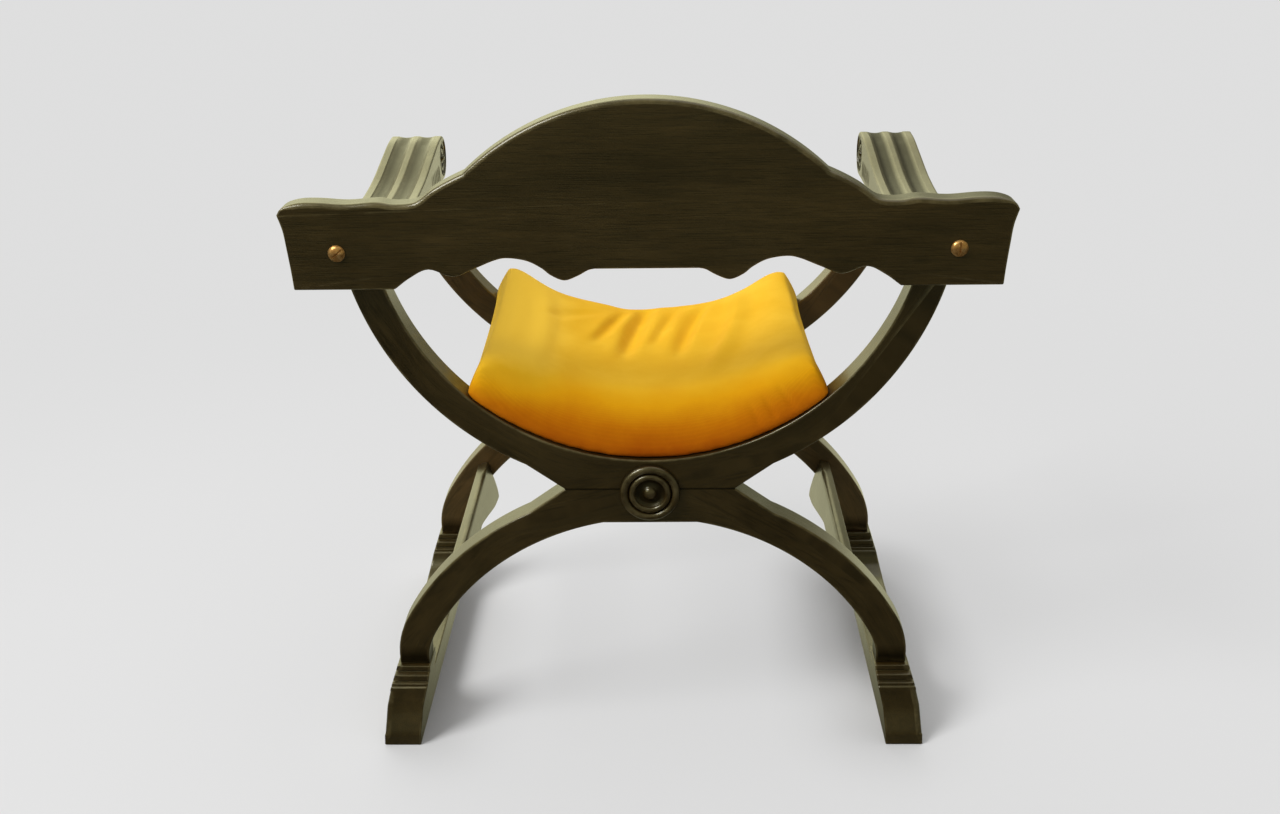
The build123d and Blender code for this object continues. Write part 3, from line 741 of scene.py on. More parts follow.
# %% [markdown]
# ## Brass screws
# Two screws hold the board to the arms. Their domed heads are turned like the rosettes, with a slight
# flat rim and a slot. A slot could be cut with a Boolean modifier. Here each point of the dome that
# lies over the slot is moved down to its floor, which keeps one clean surface. Old brass is brown where
# the tarnish stays and bright where hands rub it, so one noise drives both its colour and its gloss.

# %% Brass finish
brass, nodes = new_material("aged_brass")
metal_place = nodes.add("TexCoord", "Object")
tarnish = nodes.noise(metal_place, 180.0, 5.0, 0.65)
nodes.shade({"Base Color": nodes.ramp(tarnish, (0.32, (0.36, 0.17, 0.05)), (0.5, (0.62, 0.34, 0.11)),
                                      (0.7, (0.82, 0.54, 0.24))),
             "Roughness": nodes.carry_over(tarnish, 0.3, 0.7, 0.46, 0.28),
             "Normal": nodes.bump(nodes.noise(metal_place, 900.0, 3.0), 0.15, 0.0002),
             "Metallic": 0.85})

# %% Brass screws
screw_low, screw_high = span("back_board_screws")
screw_z = (screw_low[2] + screw_high[2]) / 2
head_radius = (screw_high[2] - screw_low[2]) / 2
screw_x = screw_high[0] - head_radius
head_height = board_low[1] - screw_low[1]
shank_radius, shank_taper = 0.0025, 0.006
shank_length = screw_high[1] - board_low[1]
rim_height, dome_share = 0.0006, 0.93
dome_angle = np.linspace(0.12, math.pi / 2, 30)
dome = np.column_stack([dome_share * head_radius * np.cos(dome_angle),
                        rim_height + (head_height - rim_height) * np.sin(dome_angle)])[:-1]
screw_profile = np.vstack([
    [(0.0005, -shank_length), (shank_radius, -shank_length + shank_taper), (shank_radius, 0)],
    [(head_radius - 0.0004, 0), (head_radius, 0.0004), (head_radius - 0.0001, 0.0009)],
    dome,
    [(0.0004, head_height)],
])
slot_half_width, slot_deep = 0.0009, 0.0022


def as_one(parts):
    """Several closed surfaces as one: each part's faces are numbered on from the points before it."""
    starts = np.cumsum([0] + [len(points) for points, _, _ in parts]).tolist()
    faces = [[corner + start for corner in face]
             for start, part in zip(starts, parts) for face in part[1]]
    return np.vstack([part[0] for part in parts]), faces, np.concatenate([part[2] for part in parts])


def slotted(points, place, degrees):
    """Moves a point down to the slot's floor where it is nearer to the slot's line than half its width."""
    away = points - place
    across = away[:, 2] * math.cos(math.radians(degrees)) - away[:, 0] * math.sin(math.radians(degrees))
    floor_y = place[1] - head_height + slot_deep
    cut = (np.abs(across) < slot_half_width) & (points[:, 1] < floor_y)
    points[:, 1] = np.where(cut, floor_y, points[:, 1])
    return points


screws = []
for side, degrees in ((-1, 38), (1, 82)):
    head_place = np.array([side * screw_x, board_low[1], screw_z])
    points, faces, wear_and_shade = turn(screw_profile, np.zeros(len(screw_profile)), head_place, -1, steps=120)
    screws.append((slotted(points, head_place, degrees), faces, wear_and_shade))
make_piece("back_board_brass_screws", *as_one(screws), brass, "back_board_screws", slot="brass")

# %% [markdown]
# ## The arms
# An arm is a thick rail with a scroll at its front. Two broad hollows run along its top and over the
# scroll, with a ridge between them, and the scroll's side is carved as a volute. Seen from the side it
# is one outline. Carried across the width, that outline is drawn in where the hollows are. It is drawn
# in less towards the scroll, and not at all at the board. The volute is a second function, of the angle
# and distance from the scroll's centre, that sinks the side face along a spiral.

# %% Arm shape
arm_width = arm_high[0] - arm_low[0]
scroll_radius = 0.028
scroll_centre = np.array([arm_high[1] - scroll_radius, arm_z + scroll_radius])
arm_length = scroll_centre[0] - arm_low[1]
hollow_width = 0.020
hollow_depth = 0.0048
ridge_width = 0.007
arm_arris = 0.0022

# the top dips between the board and the scroll: share of the length, height above the underside
top_places = [(0.0, 0.038), (0.20, 0.0315), (0.42, 0.0262), (0.62, 0.0315), (0.80, 0.0445), (0.92, 0.0535),
              (1.0, 2 * scroll_radius)]
top_line = smooth_line([(arm_low[1] + share * arm_length, arm_z + rise) for share, rise in top_places], 12)
scroll_line = circle_part(scroll_centre, scroll_radius, 90, -90, 44)
under_line = straight((scroll_centre[0], arm_z), (arm_low[1], arm_z), 0.010)
# counter-clockwise in y and z: along the underside to the front, over the scroll, back along the top
arm_outline = ease_corners(join(under_line[::-1], scroll_line[::-1], top_line[::-1]), 0.002)


def soft_step(value, low, high):
    """0 below low and 1 above high, with the smooth cubic 3t^2 - 2t^3 between."""
    t = np.clip((value - low) / (high - low), 0, 1)
    return t * t * (3 - 2 * t)


# %% Hollows along the arm
across = np.linspace(arm_arris, arm_width - arm_arris, 61)[1:-1]
from_middle = np.abs(across - arm_width / 2) - (ridge_width + hollow_width) / 2
hollow_share = np.clip(np.cos(np.clip(from_middle / hollow_width, -0.5, 0.5) * math.pi), 0, 1)
hollow = hollow_depth * hollow_share**0.8
# they start in front of the board, get shallower towards the scroll and follow its front down
along = arm_outline[:, 0]
clear_of_board = soft_step(along, arm_low[1] + 0.027, arm_low[1] + 0.045)
shallower = 1 - 0.65 * soft_step(along, scroll_centre[0] - 0.030, scroll_centre[0] + 0.004)
on_scroll = soft_step(along, scroll_centre[0] - 0.001, scroll_centre[0] + 0.004)
facing_up = outward(arm_outline)[:, 1]
in_hollow = clear_of_board * shallower * soft_step(facing_up + 0.9 * on_scroll, 0.25, 0.6)

# the rings of one arris, then the hollows, then the rings of the other arris
edge_rings = 6
near, far = slice(edge_rings), slice(-edge_rings, None)
edge_insets, edge_depths, edge_wear = board_rings(arm_width, arm_arris, arm_arris)
edge_insets = np.broadcast_to(edge_insets, (len(edge_insets), len(arm_outline)))
insets = np.vstack([edge_insets[near], hollow[:, None] * in_hollow, edge_insets[far]])
depths = np.concatenate([edge_depths[near, 0], across, edge_depths[far, 0]])[:, None]
# across the top the ridges and flat edges take wear and a painted highlight, and the hollows darken with
# gathered stain and painted shade
hollow_wear_and_shade = 0.6 - 1.35 * np.clip(hollow / (0.8 * hollow_depth), 0, 1)
arm_wear_and_shade = np.concatenate([edge_wear[near], hollow_wear_and_shade, edge_wear[far]])
arm_points, arm_faces, arm_wear_and_shade = carry(arm_outline, insets, depths, arm_wear_and_shade)
arm_points = arm_points @ seen_from_side + [arm_low[0], 0, 0]
print("arm:", len(arm_points), "points, hollows up to", round(hollow.max() * 1000, 1), "mm deep")

# %% Volute on the arm's side
volute_turns = 1.9
volute_outer = 0.0235
volute_eye = 0.0055
groove_half_width = 0.0026
groove_deep = 0.0046
dish_deep, eye_proud = 0.0012, 0.0016
leaf_start, leaf_reach = 0.033, 0.069
leaf_pitch, leaf_deep = 0.0115, 0.0022
leaf_middle, leaf_half_height = 0.016, 0.020


def volute_depth(y, z):
    """How deep the side is cut at a place. The groove's middle lies on an even spiral, whose radius is
    the eye's plus one pitch for each turn from its inner end; the cut is round across the groove."""
    away_y, away_z = y - scroll_centre[0], z - scroll_centre[1]
    radius = np.hypot(away_y, away_z)
    angle = (np.arctan2(away_z, away_y) / (2 * math.pi) + 0.75) % 1.0
    pitch = (volute_outer - volute_eye) / volute_turns
    turn_number = (radius - volute_eye) / pitch - angle
    off = np.abs(turn_number - np.round(turn_number)) * pitch
    inside = (np.round(turn_number) >= 0) & (np.round(turn_number) + angle <= volute_turns)
    groove = groove_deep * np.sqrt(np.clip(1 - (off / groove_half_width) ** 2, 0, 1)) * inside
    dished = dish_deep * soft_step(radius, volute_outer + 0.001, volute_outer - 0.002)
    eye = -eye_proud * soft_step(radius, volute_eye - 0.001, volute_eye - 0.0035)
    return groove + dished * (radius > volute_eye - 0.001) + eye * (radius < volute_eye)


def leaf_depth(y, z):
    """Gouge cuts behind the volute: slanting strokes, each a valley that fades at its ends. Across a
    stroke the depth follows 1 - s^2, s being the distance from its middle in 0.3 of a pitch."""
    back = scroll_centre[0] - leaf_start - y
    stroke = (back / leaf_pitch) % 1.0 - 0.5
    slant = (z - arm_z - leaf_middle) / leaf_half_height
    fade = soft_step(np.abs(slant), 0.62, 0.25) * (back > 0) * (back < leaf_reach) * (1 - back / 0.1)
    return leaf_deep * np.clip(1 - (stroke - 0.28 * slant) ** 2 / 0.3**2, 0, 1) * fade


def carved_depth(points):
    """How deep the volute and the gouge cuts go at each point, and which side face it is on: 1 inner, -1
    outer, 0 neither."""
    y, z = points[:, 1], points[:, 2]
    on_inner, on_outer = (np.abs(points[:, 0] - face[0]) < 1e-5 for face in (arm_low, arm_high))
    return volute_depth(y, z) + leaf_depth(y, z), on_inner * 1 - on_outer * 1


def carve(points):
    """Sinks the two side faces of the arm by the depth of the carving."""
    depth, side = carved_depth(points)
    moved = points.copy()
    moved[:, 0] += depth * side
    return moved


def stain_and_shade_in_carving(points):
    """The carving is darkened most where it is deepest: gathered stain and painted shade."""
    depth, side = carved_depth(points)
    return np.abs(side) * np.clip(depth / (0.6 * groove_deep), 0, 1.6)


def duller(points):
    """As the darkening in the carving, with a film of dust over all."""
    return stain_and_shade_in_carving(points) + 0.34


# %% Arms
carve_rows = np.arange(arm_z + 0.001, arm_z + 2 * scroll_radius, 0.0011)
carve_columns = np.concatenate([np.arange(scroll_centre[0] - 0.105, scroll_centre[0] - 0.030, 0.0021),
                                np.arange(scroll_centre[0] - 0.029, arm_high[1], 0.0011)])
for (side, flip), darkening in zip(both_sides, (duller, stain_and_shade_in_carving)):
    make_piece(side + "_arm_rail", arm_points, arm_faces, arm_wear_and_shade, stained_wood, side + "_arm",
               grain=along_y, cuts=[(1, carve_columns), (2, carve_rows)], reshape=carve,
               darkened_by=darkening, mirror=flip)

# %% [markdown]
# ## The feet
# A foot is a long sledge with a block under each leg. Seen from the side, the block has small mouldings,
# a hollow toe outside and a hollow down to the runner inside. Seen from behind, the foot spreads outwards
# to the floor. So the side view is the outline, and a bend that depends on height alone carries the
# board's two faces to the section's curves. The broad faces are cut into strips first, or there would be
# no points to bend.

# %% Feet
runner_top_z = 0.045
toe_out = 0.030
foot_top_z = foot_high[2]
leg_middle_x = (leg_outer_x + leg_inner_x) / 2
# how far each step stands out from the leg's face, and its height above the floor
moulding = np.array([(0.006, 0.096), (0.006, 0.0902), (0.0045, 0.0892), (0.0045, 0.0878),
                     (0.0118, 0.0862), (0.0118, 0.0796), (0.0102, 0.0786), (0.0102, 0.0772),
                     (0.0138, 0.0760), (0.0138, 0.0726), (0.0158, 0.0712)])
toe_hollow = smooth_line([moulding[-1], (0.0176, 0.058), (0.0208, 0.043), (0.0248, 0.030),
                          (0.0285, 0.019), (toe_out, 0.0135)], 4)[1:]
inner_hollow = smooth_line([moulding[-1], (0.0182, 0.0635), (0.0240, 0.0560), (0.0330, 0.0500),
                            (0.0420, 0.0464), (0.0500, runner_top_z)], 4)[1:]


def foot_part(face_y, away, lower):
    """Mouldings and hollow beside one face of a leg, from the top down; away is 1 to the front."""
    run = np.vstack([moulding, lower])
    return np.column_stack([face_y + away * run[:, 0], run[:, 1]])


# counter-clockwise in y and z, from the front toe's bottom
foot_outline = join(
    [(front_y + toe_out, 0)],
    foot_part(front_y, 1, toe_hollow)[::-1],
    foot_part(front_inside_y, -1, inner_hollow),
    foot_part(rear_inside_y, 1, inner_hollow)[::-1],
    foot_part(rear_y, -1, toe_hollow),
    [(rear_y - toe_out, 0)],
    straight((rear_y - toe_out, 0), (front_y + toe_out, 0), 0.03)[1:-1],
)
foot_outline = ease_corners(foot_outline, 0.0012, steps=4)

section_z = [0.0, 0.012, 0.045, 0.0705, 0.085, 0.096]
section_outer = leg_middle_x + np.array([0.0390, 0.0384, 0.0352, 0.0292, 0.0244, 0.0208])
section_inner = leg_middle_x + np.array([-0.0050, -0.0056, -0.0090, -0.0150, -0.0178, -0.0190])
foot_flat = 0.040


def spread(points):
    """Carries a flat board to the foot's section: across its width, a point moves from the inner curve
    to the outer curve at its own height."""
    share = points[:, 0] / foot_flat
    inner = np.interp(points[:, 2], section_z, section_inner)
    outer = np.interp(points[:, 2], section_z, section_outer)
    moved = points.copy()
    moved[:, 0] = inner + share * (outer - inner)
    return moved


# the outer corners of the toes are rounded over more than the rest
foot_arris, toe_arris, sole_z = 0.0016, 0.0065, 0.003
facing_end = np.abs(outward(foot_outline)[:, 0]) > 0.75
beyond_legs = (foot_outline[:, 0] < rear_y) | (foot_outline[:, 0] > front_y)
on_toe = facing_end & beyond_legs & (foot_outline[:, 1] > sole_z)
outer_arris = np.where(on_toe, toe_arris, foot_arris)
points, faces, wear_and_shade = sawn_board(foot_outline, foot_flat, foot_arris, outer_arris, beside=0.0008)
foot_points = points @ seen_from_side
foot_rows = np.arange(sole_z, foot_top_z, 0.004)
foot_columns = np.arange(rear_y, front_y, 0.02)
for side, flip in both_sides:
    make_piece(side + "_foot_sledge", foot_points, faces, wear_and_shade, stained_wood, side + "_foot",
               grain=along_y, cuts=[(2, foot_rows), (1, foot_columns)], reshape=spread, mirror=flip)

# %% [markdown]
# ## Side stretchers
# A thin board joins the rear and front leg on each side. It leans with the curve of the legs, its lower
# edge drops in a lobe near each end, and the maker has taken off its inner top edge between the ends
# with a stopped chamfer, which catches the light. The chamfer is an arris whose size changes along the
# outline.

# %% Side stretchers
stretcher_lean = math.radians(17.0)
stretcher_thickness = 0.014
stretcher_drop, stretcher_inset = 0.123, 0.0155
stretcher_top_z = glue_z - stretcher_drop
stretcher_radius = outer_radius - stretcher_inset
stretcher_top_x = circle_z(stretcher_radius, stretcher_top_z - lower_centre[1])
half_gap = (front_inside_y - rear_inside_y) / 2
lobe_y = half_gap - 0.015
waist = 0.028
stretcher_arris, chamfer = 0.0012, 0.0060


def stretcher_edge(lobe, away):
    """From one end to the middle of the lower edge: down the end, round the lobe, up the long hollow."""
    fall = lobe - waist
    end = [(half_gap, -0.027), (half_gap - 0.0006, -0.032), (half_gap - 0.004, -lobe + 0.008),
           (lobe_y + 0.005, -lobe + 0.0015), (lobe_y, -lobe)]
    run = [(lobe_y, -lobe), (0.68 * half_gap, -waist - 0.84 * fall),
           (0.38 * half_gap, -waist - 0.4 * fall), (0.12 * half_gap, -waist - 0.04 * fall), (0, -waist)]
    line = np.vstack([smooth_line(end, 5)[:-1], smooth_line(run, 8)])
    return line * [away, 1]


front_edge = stretcher_edge(0.051, 1)
rear_edge = stretcher_edge(0.036, -1)
top_edge = straight((half_gap, 0), (-half_gap, 0), 0.006)
stretcher_outline = ease_corners(join(rear_edge, front_edge[::-1], top_edge), 0.0012)
on_top_edge = soft_step(outward(stretcher_outline)[:, 1], 0.6, 0.95)
between_stops = soft_step(np.abs(stretcher_outline[:, 0]), half_gap - 0.022, half_gap - 0.040)
inner_arris = stretcher_arris + (chamfer - stretcher_arris) * on_top_edge * between_stops
lean_sin, lean_cos = math.sin(stretcher_lean), math.cos(stretcher_lean)
lean_axes = np.array([[0, 1, 0], [lean_sin, 0, lean_cos], [lean_cos, 0, -lean_sin]])
points, faces, wear_and_shade = sawn_board(stretcher_outline, stretcher_thickness, inner_arris, stretcher_arris)
points = points - [0, 0, stretcher_thickness / 2]
points = points @ lean_axes + [stretcher_top_x, middle_y, stretcher_top_z]
for side, flip in both_sides:
    make_piece(side + "_side_stretcher_board", points, faces, wear_and_shade, stained_wood,
               side + "_side_stretcher", grain=along_y, mirror=flip)

# %% [markdown]
# ## Slats and the rail between the crossings
# Seven slats are let into the two upper arcs and carry the cushion. Nobody sees much of them, so the
# maker left them flatter and duller than the rest, and so does this file: one small board, turned about
# the arc's centre for each slat. The rail between the crossings is a square bar with its corners taken
# off and a round tenon at each end.

# %% Slats
slat_count = 7
slat_pitch = math.radians(11.0)
slat_width, slat_thickness, slat_arris = 0.044, 0.010, 0.0008
slat_low, slat_high = span("seat_slat_4")
slat_length = slat_high[1] - slat_low[1]
half_width = slat_width / 2
slat_section = join([(-half_width, -slat_thickness), (half_width, -slat_thickness), (half_width, 0),
                     (-half_width, 0)])
slat_section = ease_corners(slat_section, 0.0016)
points, faces, wear_and_shade = sawn_board(slat_section, slat_length, slat_arris, slat_arris, steps=3,
                                 beside=0.0006)
points = points @ seen_from_behind + [0, slat_low[1], -inner_radius]
for index in range(slat_count):
    angle = (index - (slat_count - 1) / 2) * slat_pitch
    turned_slat = np.array([[math.cos(angle), 0, -math.sin(angle)], [0, 1, 0],
                            [math.sin(angle), 0, math.cos(angle)]])
    place = points @ turned_slat + [upper_centre[0], 0, upper_centre[1]]
    slat = f"seat_slat_{index + 1}"
    make_piece(slat + "_board", place, faces, wear_and_shade, plain_wood, slat, slot="plain_wood", grain=along_y)

# %% Rail between the crossings
rail_low, rail_high = span("centre_stretcher")
rail_half_width = (rail_high[0] - rail_low[0]) / 2
rail_half_height = (rail_high[2] - rail_low[2]) / 2
rail_z = (rail_high[2] + rail_low[2]) / 2
rail_chamfer, rail_arris = 0.003, 0.0006
eased_x, eased_z = rail_half_width - rail_chamfer, rail_half_height - rail_chamfer
rail_side = np.array([(eased_x, -rail_half_height), (rail_half_width, -eased_z),
                      (rail_half_width, eased_z), (eased_x, rail_half_height)])
rail_section = ease_corners(join(rail_side, mirrored(rail_side)), 0.001)
points, faces, wear_and_shade = sawn_board(rail_section, front_inside_y - rear_inside_y, rail_arris, rail_arris,
                                 steps=3, beside=0.0006)
rail_parts = [(points @ seen_from_behind + [0, rear_inside_y, rail_z], faces, wear_and_shade)]
tenon_radius, tenon_root, tenon_length = 0.011, -0.004, rear_inside_y - rail_low[1]
tenon_profile = [(0.0005, tenon_length), (tenon_radius - 0.001, tenon_length),
                 (tenon_radius, tenon_length - 0.001), (tenon_radius, tenon_root), (0.0005, tenon_root)]
tenon_wear = np.zeros(len(tenon_profile))
for start_y, towards in ((rear_inside_y, -1), (front_inside_y, 1)):
    rail_parts.append(turn(tenon_profile, tenon_wear, (0, start_y, rail_z), towards, steps=32))
make_piece("centre_stretcher_rail", *as_one(rail_parts), plain_wood, "centre_stretcher",
           slot="plain_wood", grain=along_y)

# %% [markdown]
# ## Hidden dowels
# The dowels in the arms and across the glue joints are never seen, so their CAD shapes stay and only
# take a bare wood finish. Their meshes have no stored wood coordinates, so this finish reads Object
# coordinates instead.

# %% Dowel finish
dowel_finish, nodes = new_material("bare_dowel")
dowel_grain = nodes.add("Mapping", "Vector", {"Vector": nodes.add("TexCoord", "Object"),
                                              "Scale": (600.0, 600.0, 30.0)})
nodes.shade({"Base Color": nodes.ramp(nodes.noise(dowel_grain, 1.0, 4.0), (0.35, (0.28, 0.18, 0.09)),
                                      (0.65, (0.48, 0.35, 0.2))),
             "Roughness": 0.7})
for node in ("arm_dowels", "crossing_dowels"):
    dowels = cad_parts[node]
    dowels.data.materials.clear()
    dowels.data.materials.append(dowel_finish)
    print(node, "keeps its CAD shape with", dowel_finish.name)

# %% [markdown]
# ## Mustard cloth
# The cover is a closely woven cotton in a warm mustard yellow. Its colour has painted light and shade in
# it: the piece carries a number from 0 low down, painted as a shaded deep orange, to 0.8 on the top,
# painted lighter, and 1 at the ends, painted lightest. The weave is too fine to model as threads, so it is
# two crossed waves in the bump.

# %% Cloth finish
cloth, nodes = new_material("mustard_cloth")
cloth_place = nodes.add("TexCoord", "Object")
painted_light_input = nodes.add("Attribute", "Fac", attribute_name="painted_light_share")
uneven = nodes.carry_over(nodes.noise(cloth_place, 14.0, 5.0, 0.6), 0.3, 0.7, -0.08, 0.08)
# the ramp paints light and shade into the dye: a shaded deep orange low down, lighter yellow on top,
# lightest at the ends
dye_and_painted_light = nodes.ramp(nodes.number("ADD", painted_light_input, uneven),
                 (0.0, (0.37, 0.072, 0.001)), (0.24, (0.55, 0.170, 0.002)), (0.52, (0.75, 0.345, 0.005)),
                 (0.8, (0.83, 0.460, 0.016)), (1.0, (0.95, 0.585, 0.045)))
threads = [nodes.add("TexWave", "Fac", {"Vector": cloth_place, "Scale": 260.0, "Distortion": 1.2,
                                        "Detail": 2.0, "Detail Scale": 1.5},
                     bands_direction=direction, wave_profile="SIN") for direction in ("X", "Y")]
weave = nodes.number("MAXIMUM", *threads)
between_threads = nodes.ramp(weave, (0.2, (0.86, 0.82, 0.7)), (0.9, white))
nodes.shade({"Base Color": nodes.mix(0.5, dye_and_painted_light, between_threads, "MULTIPLY"),
             "Normal": nodes.bump(weave, 0.25, 0.0004),
             "Roughness": 0.85,
             "Specular IOR Level": 0.1,
             "Specular Tint": (1.0, 0.85, 0.35),
             "Sheen Weight": 0.06,
             "Sheen Roughness": 0.4,
             "Sheen Tint": (1.0, 0.8, 0.2)})

# %% [markdown]
# ## The cushion
# The cushion is a stuffed case that sags into the seat. It starts as a plain closed block a little
# smaller than the real one, its top edges well rounded, and Blender's Cloth blows it up from inside,
# which gives the tight sides and puffed corners of a filled case. Then it is brought to its size, its
# underside is laid on the arcs and slats, and the slack folds across its top are drawn in as valleys
# and ridges. Cloth alone could wrinkle it too, but never twice at the places where this one creases.

# %% Cushion block
cushion_low, cushion_high = span("seat_cushion_cover")
rest_radius = inner_radius - 0.0004
cushion_angle = math.asin(cushion_high[0] / (inner_radius - 0.0003))
widest_angle = math.radians(44.6)
cushion_depth = cushion_high[1] - cushion_low[1]
side_height, side_lean, crown = 0.042, 0.012, 0.063
slack = 0.002


def cushion_outline(shrink):
    """The cushion seen from behind: an arc under it, leaning sides, and a flatter arc on top."""
    radius = rest_radius - shrink
    half = math.degrees(cushion_angle - shrink / radius)
    low = circle_part(upper_centre, radius, -90 - half, -90 + half, 40)
    side_top = (low[-1, 0] - side_lean, low[-1, 1] + side_height - 2 * shrink)
    crown_z = upper_centre[1] - rest_radius + crown - shrink
    sag = side_top[1] - crown_z
    top_radius = (side_top[0] ** 2 + sag**2) / (2 * sag)
    half_top = math.degrees(math.asin(side_top[0] / top_radius))
    top = circle_part((0, crown_z + top_radius), top_radius, -90 + half_top, -90 - half_top, 40)
    right_side = straight(low[-1], side_top, 0.006)
    left_side = straight((-side_top[0], side_top[1]), low[0], 0.006)
    return join(low, right_side, top, left_side)


block_outline = ease_corners(cushion_outline(slack), 0.014, steps=8)
top_share = soft_step(outward(block_outline)[:, 1], 0.1, 0.9)
towards_side = soft_step(np.abs(block_outline[:, 0]), 0.07, 0.17)
low_arris = 0.006
near_arris = low_arris + (0.028 - 0.012 * towards_side) * top_share
far_arris = low_arris + (0.020 - 0.008 * towards_side) * top_share
points, faces, wear_and_shade = sawn_board(block_outline, cushion_depth - 2 * slack, near_arris, far_arris,
                                 steps=9, beside=0.002)
cushion_points = points @ seen_from_behind + [0, cushion_low[1] + slack, 0]
cushion = make_piece("seat_cushion_case", cushion_points, faces, wear_and_shade, cloth, "seat_cushion_cover",
                     body="cushion", slot="mustard_cloth")

# %% Seat coordinates
def to_seat(points):
    """Angle round the seat's centre from straight down, y, and height above the seat."""
    away = points[:, [0, 2]] - upper_centre
    return np.arctan2(away[:, 0], -away[:, 1]), points[:, 1], rest_radius - np.hypot(*away.T)


def from_seat(angle, y, height):
    """The place of a point given by its seat coordinates."""
    radius = rest_radius - height
    return np.column_stack([upper_centre[0] + radius * np.sin(angle), y,
                            upper_centre[1] - radius * np.cos(angle)])


def stretch_to(values, low, high):
    """Moves and scales values so that their least and greatest are low and high."""
    return low + (values - values.min()) * (high - low) / (values.max() - values.min())


# %% Blow the cushion up
def mesh_points(piece):
    """The points of a piece's mesh as an array."""
    return read_rows(piece.data.vertices, "co", 3)


def evened(piece, values, rounds):
    """Each round gives every point the mean of its own value and its neighbours'."""
    ends = np.empty(len(piece.data.edges) * 2, int)
    piece.data.edges.foreach_get("vertices", ends)
    first, second = ends[0::2], ends[1::2]
    count = 1 + np.bincount(ends, minlength=len(values))
    for _ in range(rounds):
        total = values.copy()
        np.add.at(total, first, values[second])
        np.add.at(total, second, values[first])
        values = total / count[:, None]
    return values


def apply_modifiers(piece):
    """Replaces the piece's mesh by what its modifiers make of it."""
    evaluated = piece.evaluated_get(bpy.context.evaluated_depsgraph_get())
    finished = bpy.data.meshes.new_from_object(evaluated)
    piece.modifiers.clear()
    piece.data = finished


remesh = cushion.modifiers.new("even mesh", "REMESH")
remesh.mode = "VOXEL"
remesh.voxel_size = 0.0048
apply_modifiers(cushion)
before = mesh_points(cushion)
blown = cushion.modifiers.new("blown up", "CLOTH")
cloth_settings = {"quality": 6, "mass": 0.3, "tension_stiffness": 12, "compression_stiffness": 10,
                  "shear_stiffness": 6, "bending_stiffness": 0.4, "use_pressure": True,
                  "uniform_pressure_force": 4.0}
for setting, value in cloth_settings.items():
    setattr(blown.settings, setting, value)
blown.settings.effector_weights.gravity = 0.0
blown.collision_settings.use_collision = False
for moment in range(1, 21):
    bpy.context.scene.frame_set(moment)
apply_modifiers(cushion)
bpy.context.scene.frame_set(1)
most_swelling = 0.010
moved = mesh_points(cushion) - before
length = np.linalg.norm(moved, axis=1, keepdims=True)
# the underside is pressed on the seat, so it stays as it is
free = soft_step(to_seat(before)[2], 0.0, 0.018)[:, None]
# the swelling is evened out, or the cloth would leave a chance crumple in the front
swelling = free * moved * np.minimum(1, most_swelling / np.maximum(length, 1e-9))
swelling = evened(cushion, swelling, 40)
cushion.data.vertices.foreach_set("co", (before + free * swelling).ravel())
ironed = cushion.modifiers.new("ironed", "SMOOTH")
ironed.factor, ironed.iterations = 0.5, 22
apply_modifiers(cushion)
smoother = cushion.modifiers.new("smooth", "SUBSURF")
smoother.levels = smoother.render_levels = 1
apply_modifiers(cushion)
case = mesh_points(cushion)
print("the cloth moved", round(float(length.max()) * 1000, 1), "mm at most;", len(case), "points")

# %% Folds
# each fold: points (x, y) from its rear end to its front end, height, half width; below 0 is a valley
folds = [([(-0.036, -0.045), (-0.020, 0.040), (0.002, 0.140)], -0.0094, 0.0180),
         ([(0.050, -0.040), (0.068, 0.045), (0.094, 0.120)], -0.0072, 0.0160),
         ([(-0.080, -0.005), (-0.060, 0.055), (-0.040, 0.110)], -0.0056, 0.0130),
         ([(0.012, 0.000), (0.026, 0.050), (0.044, 0.110)], -0.0036, 0.0120),
         ([(-0.150, 0.030), (-0.126, 0.060), (-0.096, 0.090)], -0.0022, 0.0160),
         ([(0.104, -0.095), (0.136, 0.010), (0.148, 0.125)], 0.0056, 0.0200),
         ([(-0.162, -0.150), (-0.156, -0.020), (-0.164, 0.110)], 0.0034, 0.0200)]


def fold_height(x, y):
    """Along a fold, x is a parabola of y through its three points. Across it the height follows
    (1 - 1.1 s^2) exp(-s^2), s being the distance in half widths, so a valley has raised shoulders."""
    height = np.zeros_like(x)
    for line, rise, half_width in folds:
        line_x, line_y = np.array(line).T
        curve = np.polyfit(line_y, line_x, 2)
        slope = np.polyval(np.polyder(curve), y)
        s = (x - np.polyval(curve, y)) / np.sqrt(1 + slope**2) / half_width
        share = (y - line_y[0]) / (line_y[-1] - line_y[0])
        fade = np.exp(-np.abs((share - 0.5) / 0.52) ** 4)
        height += rise * fade * (1 - 1.1 * s**2) * np.exp(-(s**2))
    return height


# %% Size and lie
angle, depth, height = to_seat(case)
angle = stretch_to(angle, -widest_angle, widest_angle)
depth = stretch_to(depth, cushion_low[1] - 0.001, cushion_high[1] + 0.001)
# the case lies flat on the seat all over its underside; higher up it keeps its height
pressed = 0.006
height = np.maximum(height - pressed * np.exp(-np.maximum(height, 0) / pressed), 0)
flat_x = rest_radius * np.sin(angle)
across_share = np.abs(angle) / widest_angle
to_front = (depth - cushion_low[1]) / cushion_depth
depth_share = np.abs(2 * to_front - 1)
